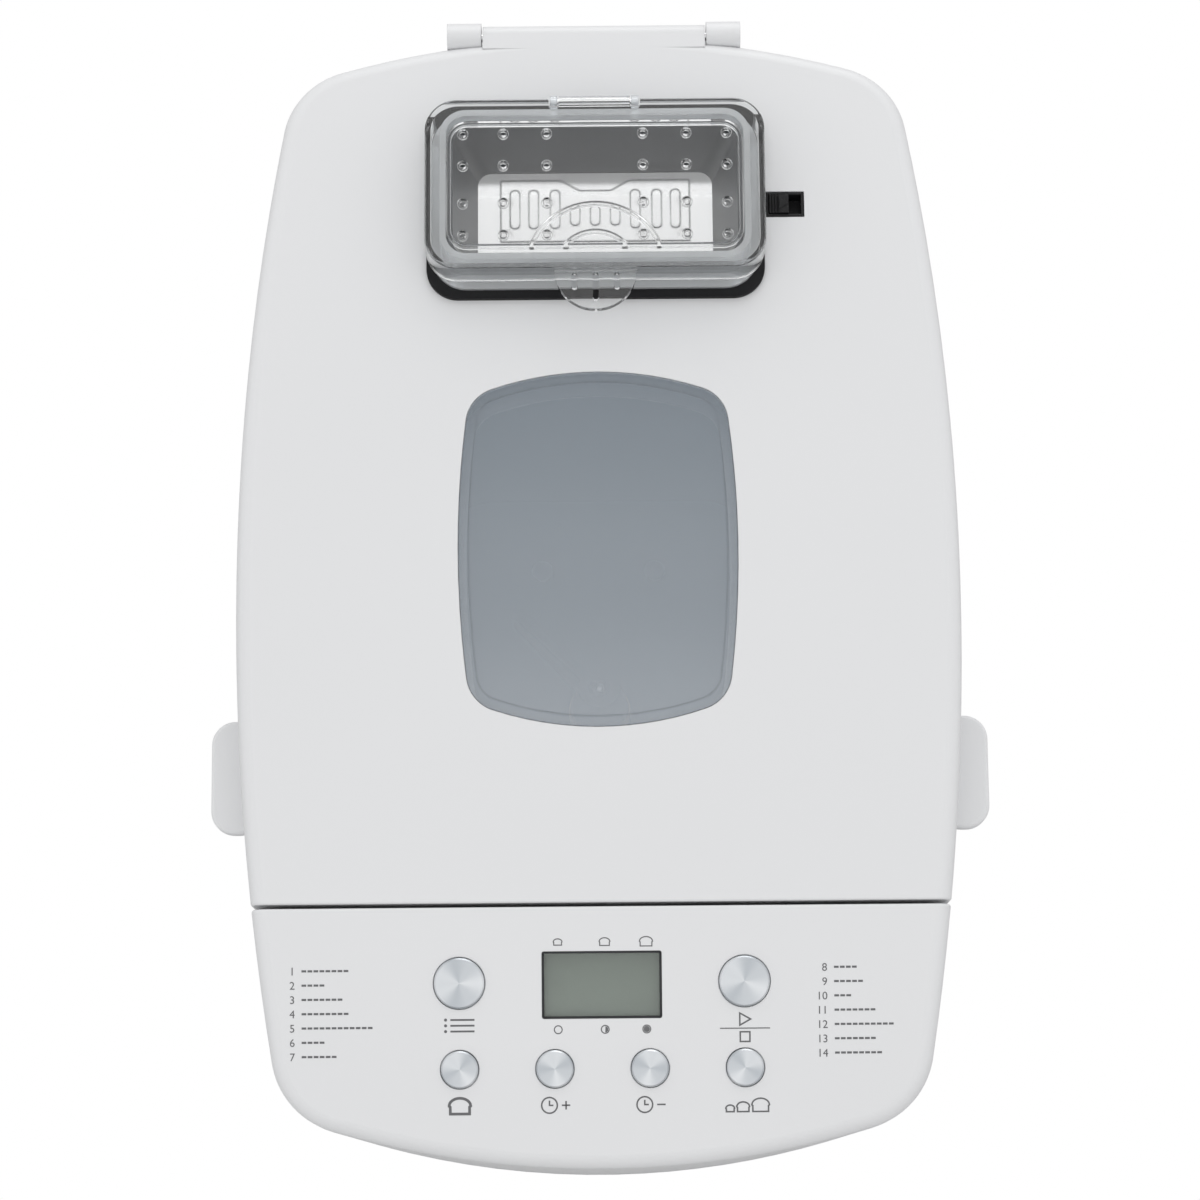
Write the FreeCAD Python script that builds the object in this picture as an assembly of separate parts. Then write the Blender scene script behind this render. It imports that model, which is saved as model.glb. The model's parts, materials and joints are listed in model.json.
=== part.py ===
import FreeCAD
import Part
import math
import os

# Bread machine. Millimetres and degrees, +Z up, front towards -Y, origin under the middle.
# The lid and the control panel share a plane that slopes down to the front. Their pieces are
# drawn in that plane's own frame, which on_top() puts in place.

# Bread pan
pan_width = 130.0
pan_length = 184.0
pan_height = 132.0
pan_wall = 1.6
pan_corner = 24.0
pan_lip = 3.0
pan_gap = 19.0
pan_lift = 23.0
pan_offset = 25.0
pan_twist = 6.0

# Oven chamber and what lies round it
chamber_wall = 1.0
chamber_flange = 10.0
side_bay = 34.9
rear_bay = 59.4
front_land = 13.0
panel_reach = 86.7
rim_rise = 22.0

# Case form
lid_tilt = 13.0
wall = 2.6
side_radius = 965.0
end_radius = 318.0
corner_radius = 28.0
crown_radius = 1660.0
crown_middle = 45.0
crown_height = 31.0
top_round = 5.0
split_gap = 1.35
split_round = 0.8
front_lean = 14.1
rear_lean = 1.5
side_lean = 2.0
groove_height = 0.8
groove_depth = 1.2

# Clearances
run_fit = 0.05
slip_gap = 0.3
lid_gap = 0.5
seat_gap = 0.1
button_gap = 0.35

# Closeness at which a point counts as on a face, and cosine at which an edge counts as upright
on_face = 0.01
upright = 0.999

# Base, bays and levels
foot_height = 6.0
foot_radius = 10.0
foot_inset = 26.0
foot_back = 14.0
tray_thickness = 3.0
pulley_bay = 25.0
chassis_thickness = 2.0
chassis_half = 42.0
chassis_corner = 22.0
chassis_post_radius = 5.0
chassis_post_x = 34.0
chassis_overhang = 66.0
chassis_post_back = 56.0
floor_gap = 10.0
ledge_width = 9.0
ledge_height = 5.0
vent_count = 9
vent_pitch = 12.0
vent_width = 4.0
vent_low = 60.0
vent_high = 112.0
tray_slot_count = 6
tray_slot_length = 44.0
gland_z = 26.0
gland_x = 30.0
gland_radius = 6.0
gland_bore = 3.6
gland_flange = 9.5
gland_flange_thickness = 2.5
gland_reach = 14.0
gland_pad = 2.0

# Deck round the oven mouth
deck_drop = 6.0
deck_thickness = 2.4
deck_ledge = 6.0
deck_ledge_height = 3.0
deck_front_land = 5.0

# Screws
screw_radius = 1.5
screw_head_radius = 3.0
screw_head_height = 1.6
screw_bite = 5.0

# Heating element and probe
element_radius = 3.3
element_height = 12.0
element_inset = 14.0
element_bend = 18.0
element_lead_bend = 5.0
element_leads = (33.0, 45.0)
element_lead_reach = 12.0
clip_half_x = 5.0
clip_half_y = 3.0
clip_rise = 1.7
probe_radius = 2.5
probe_x = -45.0
probe_height = 103.0
probe_reach = 6.0
probe_tail = 14.0
probe_nut_radius = 6.0
probe_nut = 3.0

# Pan socket and pan foot, a bayonet with three lugs
lug_count = 3
foot_ring_outer = 34.0
foot_ring_wall = 4.0
lug_reach = 4.0
lug_half_angle = 2.5
lug_height = 5.0
notch_margin = 0.8
socket_base = 2.7
socket_wall = 4.0
socket_lip = 3.0
socket_play = 1.0
foot_plate = 2.0
foot_plate_half_x = 34.0
foot_plate_half_y = 68.0
rivet_x = 22.0
rivet_y = 60.0
rivet_radius = 2.2
rivet_head = 4.2
rivet_head_height = 1.0

# Kneading shaft, bush and blade
shaft_radius = 4.0
shaft_chamfer = 0.9
bush_radius = 9.0
bush_flange = 12.0
bush_flange_height = 1.6
bush_rise = 4.4
bush_drop = 6.5
hub_radius = 11.0
hub_top_radius = 8.0
hub_height = 20.7
hub_gap = 0.3
shaft_show = 1.5
blade_angle = 131.0
blade_length = 48.0
blade_thickness = 4.0
blade_root_height = 18.0
blade_tip_height = 10.0
blade_drop = 1.6
wing_half_length = 18.0
wing_half_width = 3.5
wing_height = 5.0

# Drive under the oven
dog_radius = 20.0
dog_thickness = 4.0
dog_post_circle = 15.0
dog_post_radius = 3.0
dog_post_height = 8.0
dog_gap = 1.0
wing_lift = 2.0
housing_radius = 10.5
housing_flange = 20.0
housing_flange_height = 3.0
housing_neck = 8.5
housing_neck_rise = 3.0
pulley_lift = 5.0
pulley_height = 12.0
pulley_radius = 40.0
pulley_flange = 3.5
pulley_flange_height = 1.5
small_pulley_radius = 9.0
belt_thickness = 2.0
shaft_tail = 2.0
motor_radius = 26.0
motor_height = 60.0
motor_cap_radius = 19.0
motor_cap_height = 4.0
motor_gap = 4.0
motor_shaft_radius = 3.0
motor_shaft_show = 2.0

# Electrics in the front bay
board_width = 36.0
board_inset = 8.0
board_depth = 28.0
board_back = 5.0
board_thickness = 1.6
board_lift = 7.0
board_post_radius = 2.5
board_post_inset = 4.0
coil_block = (14.0, 16.0, 22.0)
relay_block = (10.0, 19.0, 15.0)
block_margin = 4.0
capacitor_size = (36.0, 26.0, 32.0)
capacitor_inset = 4.0
capacitor_round = 3.0

# Pan handle
handle_radius = 2.2
handle_drop = 12.0
handle_side = 6.0
handle_reach = 74.0
handle_bend = 12.0
handle_hook_bend = 5.0
lug_length = 16.0
lug_plate_height = 14.0
lug_thickness = 4.0
handle_clear = 0.6

# Lid
frame_height = 2.7
frame_width = 14.0
tab_land = 45.35
tab_length = 38.8
tab_reach = 11.5
tab_height = 5.5
tab_round = 8.0
tab_edge = 1.2
tab_root = 6.0
liner_thickness = 0.8
boss_radius = 4.0
boss_inset = 8.0
boss_land = 22.0
boss_back = 69.6

# Lid hinge at the rear
hinge_back = 0.5
hinge_rise = 19.6
knuckle_inner = 39.3
knuckle_length = 11.9
knuckle_radius = 5.0
knuckle_root = 22.0
hinge_bar_radius = 3.9
hinge_pin_radius = 1.5
hinge_side_gap = 0.5
knuckle_seat = 8.0
knuckle_thickness = 3.6

# Window
window_land = 58.35
window_clear = 61.5
window_half = 47.4
window_side_radius = 357.0
window_end_radius = 112.0
window_corner = 13.0
window_gap = 0.25
pane_thickness = 2.6
pane_flange = 5.0
pane_flange_thickness = 1.8
pane_groove_inset = 3.4
pane_groove_width = 0.5
pane_groove_depth = 0.4
seal_outset = 4.0
seal_width = 2.2
glass_thickness = 3.0
glass_outset = 4.5
liner_window_inset = 2.0

# Dispenser, in a frame on the lid's surface
dispenser_back = 61.57
rim_half = 53.0
rim_front = -26.5
rim_rear = 27.5
rim_wall = 2.2
rim_top = 14.5
rim_drop = 7.0
rim_corner = 9.0
flange_outset = 3.0
flange_front = 6.5
flange_thickness = 1.6
gasket_outset = 5.0
gasket_front = 9.5
gasket_height = 1.6
gasket_sink = 3.0
gasket_corner = 11.0
hopper_top = 8.0
hopper_bottom = -18.5
hopper_wall = 1.6
hopper_gap = 0.4
hopper_taper_side = 12.0
hopper_taper_front = 4.5
hopper_taper_rear = 10.5
flap_thickness = 1.3
flap_gap = 0.4
flap_swing = 30.0
flap_panel_half = 33.0
flap_panel_span = (3.0, 25.6)
flap_panel_height = 0.7
flap_dip = 3.8
flap_dip_half = (5.5, 12.0)
flap_rib_places = (-28.0, -21.5, -14.0, 14.0, 21.5, 28.0)
flap_rib_span = (6.8, 21.0)
flap_short_places = (-7.0, 0.0, 7.0)
flap_short_span = (12.6, 19.9)
flap_rib_width = 3.4
flap_rib_height = 0.8
flap_pin_back = 4.9
flap_pin_radius = 1.4
flap_barrel_radius = 2.3
flap_barrel = (12.0, 30.0)
ear_span = (31.0, 36.0)
ear_radius = 2.6

# Flap drive inside the lid
crank_arm = 8.5
crank_thickness = 2.3
crank_hub_radius = 2.6
crank_pin_radius = 1.2
crank_side = 8.2
crank_pin_length = 5.0
yoke_half = 3.9
yoke_height = 7.0
yoke_thickness = 3.0
yoke_slot_gap = 0.35
yoke_side_gap = 0.6
plunger_radius = 2.5
plunger_gap = 0.3
solenoid_half = 7.2
solenoid_length = 26.0
solenoid_front = 12.5
solenoid_top = -7.6
solenoid_bottom = -22.9

# Clear cover of the dispenser
cover_side = 5.0
cover_ahead = 4.0
cover_behind = 2.8
cover_above = 3.5
cover_plate = 2.0
cover_skirt = 2.0
cover_skirt_drop = 12.2
cover_corner = 11.0
cover_edge = 0.9
cover_rear_cut = 6.0
cover_rib_inset = 7.6
cover_rib_width = 1.2
cover_rib_corner = 7.0
cover_rib_drop = 2.6
thumb_radius = 14.0
thumb_top = 15.0
thumb_thickness = 2.6
thumb_slot_pitch = 7.2
thumb_slot_lengths = (5.6, 9.6, 5.6)
thumb_slot_width = 2.0
thumb_slot_front = 1.0
arch_radius = 24.0
arch_width = 1.2
vent_columns = (16.4, 31.2, 45.0)
vent_rows = (6.8, 18.3)
vent_hole = 1.2
vent_boss = 1.8
vent_boss_drop = 1.4
cover_hinge_ahead = 0.3
cover_hinge_z = 15.5
cover_barrel_half = 12.2
cover_barrel_radius = 2.0
cover_pin_radius = 1.0
cover_ear_width = 2.6
cover_ear_gap = 0.4
cover_ear_low = 6.0

# Release slider
release_clear = 0.9
release_length = 12.8
release_y = -2.1
release_half = 4.35
release_depth = 7.2
release_wall = 0.8
release_travel = 4.0
release_gap = 0.3
release_rise = 0.8
release_groove_count = 3
release_grip = 3.0
release_mark_half = 2.1
release_mark_rise = 0.35
tongue_half = 2.0
tongue_low = -5.6
tongue_high = -3.8
tongue_inset = 1.7

# Control panel
panel_ahead = 40.37
big_button = 8.4
small_button = 6.2
button_rise = 0.9
button_chamfer = 0.5
button_body = 4.2
button_flange = 1.5
button_flange_height = 1.0
button_travel = 1.0
stem_radius = 2.2
upper_row = 14.7
lower_row = -13.8
outer_column = 47.4
inner_column = 15.8
lcd_width = 40.0
lcd_height = 22.4
lcd_middle = 13.8
lcd_corner = 0.8
lens_margin = 3.0
lens_thickness = 1.5
module_margin = 4.0
control_half = 64.0
control_front = -30.0
control_rear = 30.0
control_depth = 12.0
control_post_radius = 3.0
control_post_inset = 5.0
switch_half = 3.0
switch_height = 3.4
switch_plunger = 1.7
switch_plunger_height = 0.9
switch_gap = 0.15


def crown_z(y):
    """Height of the crowned top above the rim plane."""
    return crown_height - crown_radius + math.sqrt(crown_radius ** 2 - (y - crown_middle) ** 2)


def crown_slope(y):
    """Slope of the crowned top in degrees, rising to the rear."""
    return -math.degrees(math.asin((y - crown_middle) / crown_radius))


tilt_sin = math.sin(math.radians(lid_tilt))
tilt_cos = math.cos(math.radians(lid_tilt))

# Case outline, from the pan outwards
chamber_half_x = pan_width / 2 + pan_gap
chamber_half_y = pan_length / 2 + pan_gap
half_width = chamber_half_x + chamber_wall + side_bay + wall
split_reach = (chamber_half_y + chamber_wall - pan_offset + front_land) / tilt_cos
front_reach = split_reach + panel_reach
rear_reach = (chamber_half_y + chamber_wall + pan_offset + rear_bay) / tilt_cos
lid_front = -split_reach + split_gap / 2
panel_rear = -split_reach - split_gap / 2
hinge_y = rear_reach + hinge_back
panel_y = -split_reach - panel_ahead
dispenser_y = rear_reach - dispenser_back
window_front = lid_front + window_land
window_rear = dispenser_y - window_clear
tab_middle = lid_front + tab_land
boss_ends = (lid_front + boss_land, rear_reach - boss_back)
boss_places = (boss_ends[0], sum(boss_ends) / 2, boss_ends[1])

# Dispenser, from its clear rim outwards and inwards
cover_half = rim_half + cover_side
cover_front = rim_front - cover_ahead
cover_rear = rim_rear + cover_behind
cover_top = rim_top + cover_above
hopper_mouth_half = rim_half - hopper_taper_side
hopper_mouth_front = rim_front + hopper_taper_front
hopper_mouth_rear = rim_rear - hopper_taper_rear
release_x = rim_half + gasket_outset + release_clear
tongue_tip = rim_half - tongue_inset

# Electrics, beside the oven's front
board_x = (chamber_half_x - board_inset - board_width, chamber_half_x - board_inset)
capacitor_x = capacitor_inset - chamber_half_x

# Levels, from the table upwards
tray_top = foot_height + tray_thickness
chassis_z = tray_top + pulley_bay
chassis_top = chassis_z + chassis_thickness
chamber_base = chassis_top + floor_gap
chamber_floor = chamber_base + chamber_wall
pan_bottom = chamber_floor + pan_lift
pan_floor = pan_bottom + pan_wall
pan_rim = pan_bottom + pan_height
rim_height = pan_rim + rim_rise

# The whole part is centred from its front edge to its hinge
rear_extent = hinge_y * tilt_cos - hinge_rise * tilt_sin + knuckle_radius
front_edge_z = crown_z(-front_reach) - top_round
front_extent = -(front_reach - top_round) * tilt_cos - front_edge_z * tilt_sin - top_round
plan_shift = -(rear_extent + front_extent) / 2
pan_y = plan_shift + pan_offset
chamber_front = pan_y - chamber_half_y
motor_y = chamber_front - chamber_wall - motor_gap - motor_radius

# Depth of the case below the rim plane, past its lowest rear corner
body_depth = (rim_height + rear_reach * tilt_sin) / tilt_cos
low_front = front_reach - body_depth * math.tan(math.radians(front_lean - lid_tilt))
low_rear = rear_reach - body_depth * math.tan(math.radians(rear_lean + lid_tilt))
low_half = half_width - body_depth * math.tan(math.radians(side_lean))
span = 2 * (front_reach + rear_reach)


def vec(x, y, z):
    return FreeCAD.Vector(x, y, z)


TOP = FreeCAD.Placement(vec(0, plan_shift, rim_height), FreeCAD.Rotation(vec(1, 0, 0), lid_tilt))
PANEL = FreeCAD.Placement(
    vec(0, panel_y, crown_z(panel_y)), FreeCAD.Rotation(vec(1, 0, 0), crown_slope(panel_y)))
DISPENSER = FreeCAD.Placement(
    vec(0, dispenser_y, crown_z(dispenser_y)),
    FreeCAD.Rotation(vec(1, 0, 0), crown_slope(dispenser_y)))


# Shapes that many pieces share
def placed(shape, frame):
    copy = shape.copy()
    copy.Placement = frame.multiply(shape.Placement)
    return copy


def on_top(shape):
    return placed(shape, TOP)


def on_panel(shape):
    return placed(shape, TOP.multiply(PANEL))


def on_dispenser(shape):
    return placed(shape, TOP.multiply(DISPENSER))


def single(shape):
    """The one solid that a boolean leaves in a compound."""
    return shape.Solids[0] if len(shape.Solids) == 1 else shape


def join(first, *others):
    return single(first.multiFuse(list(others)).removeSplitter())


def trim(shape, *tools):
    return single(shape.cut(list(tools)))


def block(x, y, z):
    return Part.makeBox(x[1] - x[0], y[1] - y[0], z[1] - z[0], vec(x[0], y[0], z[0]))


def rod(radius, start, end):
    return Part.makeCylinder(radius, (end - start).Length, start, end - start)


def post(radius, x, y, z):
    return rod(radius, vec(x, y, z[0]), vec(x, y, z[1]))


def bar_x(radius, x, y, z):
    return rod(radius, vec(x[0], y, z), vec(x[1], y, z))


def ring(outer, inner, x, y, z):
    return post(outer, x, y, z).cut(post(inner, x, y, z))


def profile_x(points, x):
    """Prism along X of a polygon given as (y, z) points."""
    corners = [vec(x[0], y, z) for y, z in points]
    face = Part.Face(Part.makePolygon(corners + corners[:1]))
    return face.extrude(vec(x[1] - x[0], 0, 0))


def is_upright(edge):
    tangent = edge.tangentAt(edge.FirstParameter)
    return abs(tangent.z) > upright


def plate(x, y, z, radius):
    """Box with rounded upright edges."""
    box = block(x, y, z)
    return box.makeFillet(radius, [edge for edge in box.Edges if is_upright(edge)])


def both_sides(pair):
    """A span along X and its mirror image."""
    return [(pair[0], pair[1]), (-pair[1], -pair[0])]


def grow(pair, amount):
    return (pair[0] - amount, pair[1] + amount)


# Outline of eight tangent arcs: two ends, two sides and four corners
def outline(front, rear, half, middle=0.0, side=side_radius, end=end_radius, corner=corner_radius):
    return {"front": front, "rear": rear, "half": half, "middle": middle,
            "side": side, "end": end, "corner": corner}


def circles_meet(centre_a, radius_a, centre_b, radius_b):
    """Where two circles in plan meet, on the side farther out along X."""
    step = centre_b - centre_a
    gap = step.Length
    along = (gap ** 2 + radius_a ** 2 - radius_b ** 2) / (2 * gap)
    rise = math.sqrt(radius_a ** 2 - along ** 2)
    unit = step.multiply(1 / gap)
    across = vec(-unit.y, unit.x, 0)
    points = [centre_a + unit * along + across * side for side in (rise, -rise)]
    return max(points, key=lambda point: point.x)


def towards(centre, point, radius):
    step = point - centre
    return centre + step.multiply(radius / step.Length)


def arc(centre, start, end):
    radius = (start - centre).Length
    middle = towards(centre, (start + end).multiply(1 / 2), radius)
    return Part.Arc(start, middle, end).toShape()


def mirrored(point):
    return vec(-point.x, point.y, point.z)


def outline_end(form, sign, reach, inset):
    """Centres and tangent points of one end: end arc, corner arc and side arc."""
    side_centre = vec(form["half"] - form["side"], form["middle"], 0)
    end_centre = vec(0, sign * (reach - form["end"]), 0)
    corner_centre = circles_meet(side_centre, form["side"] - form["corner"],
                                 end_centre, form["end"] - form["corner"])
    on_end = towards(end_centre, corner_centre, form["end"] - inset)
    on_side = towards(side_centre, corner_centre, form["side"] - inset)
    return side_centre, end_centre, corner_centre, on_end, on_side


def outline_wire(form, inset, z):
    side, front, front_corner, front_end, front_side = outline_end(form, -1, form["front"], inset)
    side, rear, rear_corner, rear_end, rear_side = outline_end(form, 1, form["rear"], inset)
    edges = [
        arc(front, mirrored(front_end), front_end),
        arc(front_corner, front_end, front_side),
        arc(side, front_side, rear_side),
        arc(rear_corner, rear_side, rear_end),
        arc(rear, rear_end, mirrored(rear_end)),
        arc(mirrored(rear_corner), mirrored(rear_end), mirrored(rear_side)),
        arc(mirrored(side), mirrored(rear_side), mirrored(front_side)),
        arc(mirrored(front_corner), mirrored(front_side), mirrored(front_end)),
    ]
    wire = Part.Wire(edges)
    wire.translate(vec(0, 0, z))
    return wire


def outline_prism(form, inset, z):
    return Part.Face(outline_wire(form, inset, z[0])).extrude(vec(0, 0, z[1] - z[0]))


def under_crown(drop):
    """Everything below the crowned top, lowered by drop."""
    centre_z = crown_height - crown_radius
    return bar_x(crown_radius - drop, (-span, span), crown_middle, centre_z)


def bent_path(points, bends):
    """Straight runs through points, joined by arcs of the given radii at the inner points."""
    edges = []
    start = points[0]
    for index in range(1, len(points) - 1):
        corner = points[index]
        back = points[index - 1] - corner
        ahead = points[index + 1] - corner
        back.normalize()
        ahead.normalize()
        half_angle = back.getAngle(ahead) / 2
        radius = bends[index - 1]
        cut = radius / math.tan(half_angle)
        bisector = back + ahead
        bisector.normalize()
        centre = corner + bisector * (radius / math.sin(half_angle))
        enter = corner + back * cut
        leave = corner + ahead * cut
        edges.append(Part.makeLine(start, enter))
        edges.append(Part.Arc(enter, centre - bisector * radius, leave).toShape())
        start = leave
    edges.append(Part.makeLine(start, points[-1]))
    return Part.Wire(edges)


def bent_rod(points, bends, radius):
    path = bent_path(points, bends)
    circle = Part.Wire(Part.makeCircle(radius, points[0], points[1] - points[0]))
    return path.makePipeShell([circle], True, False)


def screw(x, y, head_z, tip_z):
    """Pan-head screw whose head seats at head_z and whose shank runs to tip_z."""
    sign = 1 if head_z > tip_z else -1
    head_end = head_z + sign * screw_head_height
    head = post(screw_head_radius, x, y, sorted((head_z, head_end)))
    shank = post(screw_radius, x, y, sorted((head_z, tip_z)))
    return join(head, shank)


CASE = outline(front_reach, rear_reach, half_width)
CASE_LOW = outline(low_front, low_rear, low_half, (low_rear - low_front) / 2)


# Case
def case_solid(inset):
    """The case below the rim plane, drawn in by inset, down to the table."""
    wires = [outline_wire(CASE, inset, 0), outline_wire(CASE_LOW, inset, -body_depth)]
    return on_top(Part.makeLoft(wires, True, True))


def level_slab(z):
    return block((-span, span), (-span, span), z)


def top_slab(z):
    return on_top(level_slab(z))


def case_half(y, z):
    """Half width of the case at a place given in the part's frame."""
    depth = -(-(y - plan_shift) * tilt_sin + (z - rim_height) * tilt_cos)
    along = (y - plan_shift) * tilt_cos + (z - rim_height) * tilt_sin
    share = depth / body_depth
    middle = share * (low_rear - low_front) / 2
    half = half_width + share * (low_half - half_width)
    return half - side_radius + math.sqrt(side_radius ** 2 - (along - middle) ** 2)


def base_screw_places():
    inset = wall + ledge_width / 2
    rows = (motor_y, pan_y + chassis_overhang)
    return [(sign * (case_half(y, tray_top) - inset), y) for y in rows for sign in (-1, 1)]


def knuckle_arm(x):
    """Hinge knuckle on an arm that stands on the rear of the case, outside the lid."""
    front = hinge_y - knuckle_thickness / 2 + slip_gap
    rear = hinge_y + knuckle_radius
    slope = math.tan(math.radians(lid_tilt))
    points = [
        (front, hinge_rise),
        (rear, hinge_rise),
        (rear - slope * (hinge_rise + knuckle_root), -knuckle_root),
        (rear_reach - knuckle_seat - knuckle_root, -knuckle_root),
        (rear_reach - knuckle_seat, -slip_gap),
        (front, -slip_gap),
    ]
    return profile_x(points, x)


def knuckles():
    shapes = []
    for x in both_sides((knuckle_inner, knuckle_inner + knuckle_length)):
        shapes.append(knuckle_arm(x))
        shapes.append(bar_x(knuckle_radius, x, hinge_y, hinge_rise))
    return shapes


def hinge_bore():
    reach = knuckle_inner + knuckle_length - wall / 2
    return bar_x(hinge_pin_radius + run_fit, (-reach, reach), hinge_y, hinge_rise)


def rear_vents():
    first = -(vent_count - 1) / 2 * vent_pitch
    slots = []
    for index in range(vent_count):
        x = first + index * vent_pitch
        span_x = (x - vent_width / 2, x + vent_width / 2)
        slots.append(block(span_x, (pan_y + chamber_half_y + pan_gap, span), (vent_low, vent_high)))
    return slots


def gland_wall_y():
    """Rear face of the case at the cord gland."""
    line = Part.makeLine(vec(gland_x, 0, gland_z), vec(gland_x, span, gland_z))
    inside = case_solid(0).common(line)
    return inside.BoundBox.YMax


def gland_axis(start, end, radius):
    return rod(radius, vec(gland_x, start, gland_z), vec(gland_x, end, gland_z))


def gland_slot(half, y, high):
    """Straight-sided room for the gland, open at the lower edge of the case."""
    return block((gland_x - half, gland_x + half), y, (0, gland_z + high))


def body_shell():
    hollow = case_solid(wall)
    shell = case_solid(0).cut(hollow)
    inner = case_solid(wall / 2)
    foot_ledge = inner.cut(case_solid(wall + ledge_width))
    foot_ledge = foot_ledge.common(level_slab((tray_top, tray_top + ledge_height)))
    deck_low = -deck_drop - deck_thickness
    deck_seat = inner.cut(case_solid(wall + deck_ledge))
    deck_seat = deck_seat.common(top_slab((deck_low - deck_ledge_height, deck_low)))
    arms = [on_top(arm).cut(hollow) for arm in knuckles()]
    shell = join(shell, foot_ledge, deck_seat, *arms)
    holes = [post(screw_radius + run_fit, x, y, (0, chassis_z)) for x, y in base_screw_places()]
    wall_y = gland_wall_y()
    neck = gland_radius + slip_gap
    seat = gland_flange + slip_gap
    holes.append(gland_slot(neck, (wall_y - gland_reach, wall_y + gland_reach), neck))
    holes.append(gland_slot(seat, (wall_y, wall_y + gland_reach), seat))
    below = level_slab((-span, foot_height))
    return trim(shell, below, on_top(hinge_bore()), *holes, *rear_vents())


def cord_gland():
    face = gland_wall_y() + slip_gap
    inner = face - wall - gland_pad - gland_flange_thickness
    barrel = gland_axis(inner - gland_reach, face, gland_radius)
    flange = gland_axis(face, face + gland_flange_thickness, gland_flange)
    nut = gland_axis(inner - slip_gap, inner + gland_flange_thickness - slip_gap, gland_flange)
    key = block((gland_x - gland_radius, gland_x + gland_radius), (face - wall, face), (foot_height, gland_z))
    bore = gland_axis(inner - 2 * gland_reach, face + gland_reach, gland_bore)
    return trim(join(barrel, flange, nut, key), bore)


def chassis_places():
    return [(sign * chassis_post_x, y) for y in (motor_y, pan_y + chassis_post_back) for sign in (-1, 1)]


def board_span():
    rear = chamber_front - chamber_wall - board_back
    return (rear - board_depth, rear)


def board_places():
    x = grow(board_x, -board_post_inset)
    y = grow(board_span(), -board_post_inset)
    return [(px, py) for px in x for py in y]


def tray_slots():
    first = pan_y - (tray_slot_count - 1) / 2 * vent_pitch
    half = tray_slot_length / 2
    depth = (0, tray_top + foot_height)
    rows = [first + index * vent_pitch for index in range(tray_slot_count)]
    return [block((-half, half), (y - vent_width / 2, y + vent_width / 2), depth) for y in rows]


def base_tray():
    floor = case_solid(wall + slip_gap).common(level_slab((foot_height, tray_top)))
    posts = [post(chassis_post_radius, x, y, (foot_height, chassis_z)) for x, y in chassis_places()]
    board_top = tray_top + board_lift
    posts += [post(board_post_radius, x, y, (foot_height, board_top)) for x, y in board_places()]
    holes = [post(screw_radius + run_fit, x, y, (0, tray_top + tray_thickness))
             for x, y in base_screw_places()]
    return trim(join(single(floor), *posts), *holes, *tray_slots())


def feet():
    rows = (motor_y + foot_back, pan_y + chamber_half_y)
    shapes = []
    for y in rows:
        x = case_half(y, foot_height) - foot_inset
        shapes += [post(foot_radius, sign * x, y, (0, foot_height)) for sign in (-1, 1)]
    return Part.makeCompound(shapes)


def deck_screw_places():
    x = chamber_half_x + chamber_wall + chamber_flange / 2
    rows = (pan_offset - pan_length / 4, pan_offset + pan_length / 4)
    return [(sign * x, y) for y in rows for sign in (-1, 1)]


def deck_holes():
    depth = (-deck_drop - deck_thickness - span / 4, 0)
    return [on_top(post(screw_radius + run_fit, x, y, depth)) for x, y in deck_screw_places()]


def chamber_prism(outset, z):
    x = chamber_half_x + outset
    y = chamber_half_y + outset
    return plate((-x, x), (pan_y - y, pan_y + y), z, pan_corner + outset)


def chamber_deck():
    deck = case_solid(wall + slip_gap).common(top_slab((-deck_drop - deck_thickness, -deck_drop)))
    front = on_top(block((-span, span), (-span, panel_rear - deck_front_land), (-span, span)))
    mouth = chamber_prism(0, (0, span))
    return trim(deck, front, mouth, *deck_holes())


def control_screw_places():
    x = control_half - control_post_inset
    y = (control_front + control_post_inset, control_rear - control_post_inset)
    return [(sign * x, py) for py in y for sign in (-1, 1)]


def case_screws():
    shapes = []
    for x, y in base_screw_places():
        shapes.append(screw(x, y, foot_height, tray_top + ledge_height - seat_gap))
    for x, y in deck_screw_places():
        shapes.append(on_top(screw(x, y, -deck_drop, -deck_drop - deck_thickness - screw_bite)))
    for x, y in control_screw_places():
        under = -control_depth - board_thickness
        shapes.append(on_panel(screw(x, y, under, under + board_thickness + screw_bite)))
    return Part.makeCompound(shapes)


def hinge_pin():
    reach = knuckle_inner + knuckle_length - wall / 2 - slip_gap
    return on_top(bar_x(hinge_pin_radius, (-reach, reach), hinge_y, hinge_rise))


# Oven
def element_path():
    z = chamber_floor + element_height
    x = chamber_half_x - element_inset
    front = chamber_front + element_inset
    rear = pan_y + chamber_half_y - element_inset
    out = chamber_front - chamber_wall - element_lead_reach
    near, far = element_leads
    plan = [(near, out), (near, front), (-x, front), (-x, rear), (x, rear), (x, front),
            (far, front), (far, out)]
    return [vec(px, py, z) for px, py in plan]


def heating_element():
    corner = element_bend
    bends = [element_lead_bend, corner, corner, corner, corner, element_lead_bend]
    return bent_rod(element_path(), bends, element_radius)


def element_clips():
    z = chamber_floor + element_height
    x = chamber_half_x - element_inset
    shapes = []
    for side in (-x, x):
        body = block((side - clip_half_x, side + clip_half_x), (pan_y - clip_half_y, pan_y + clip_half_y),
                     (chamber_floor, z + element_radius + clip_rise))
        start = vec(side, pan_y - pan_length, z)
        end = vec(side, pan_y + pan_length, z)
        hole = rod(element_radius + run_fit, start, end)
        shapes.append(body.cut(hole))
    return Part.makeCompound(shapes)


def probe_axis(radius, start, end):
    z = chamber_floor + probe_height
    return rod(radius, vec(probe_x, start, z), vec(probe_x, end, z))


def temperature_probe():
    outside = chamber_front - chamber_wall
    stem = probe_axis(probe_radius, outside - probe_tail, chamber_front + probe_reach)
    nut = probe_axis(probe_nut_radius, outside - probe_nut - seat_gap, outside - seat_gap)
    return join(stem, nut)


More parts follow.
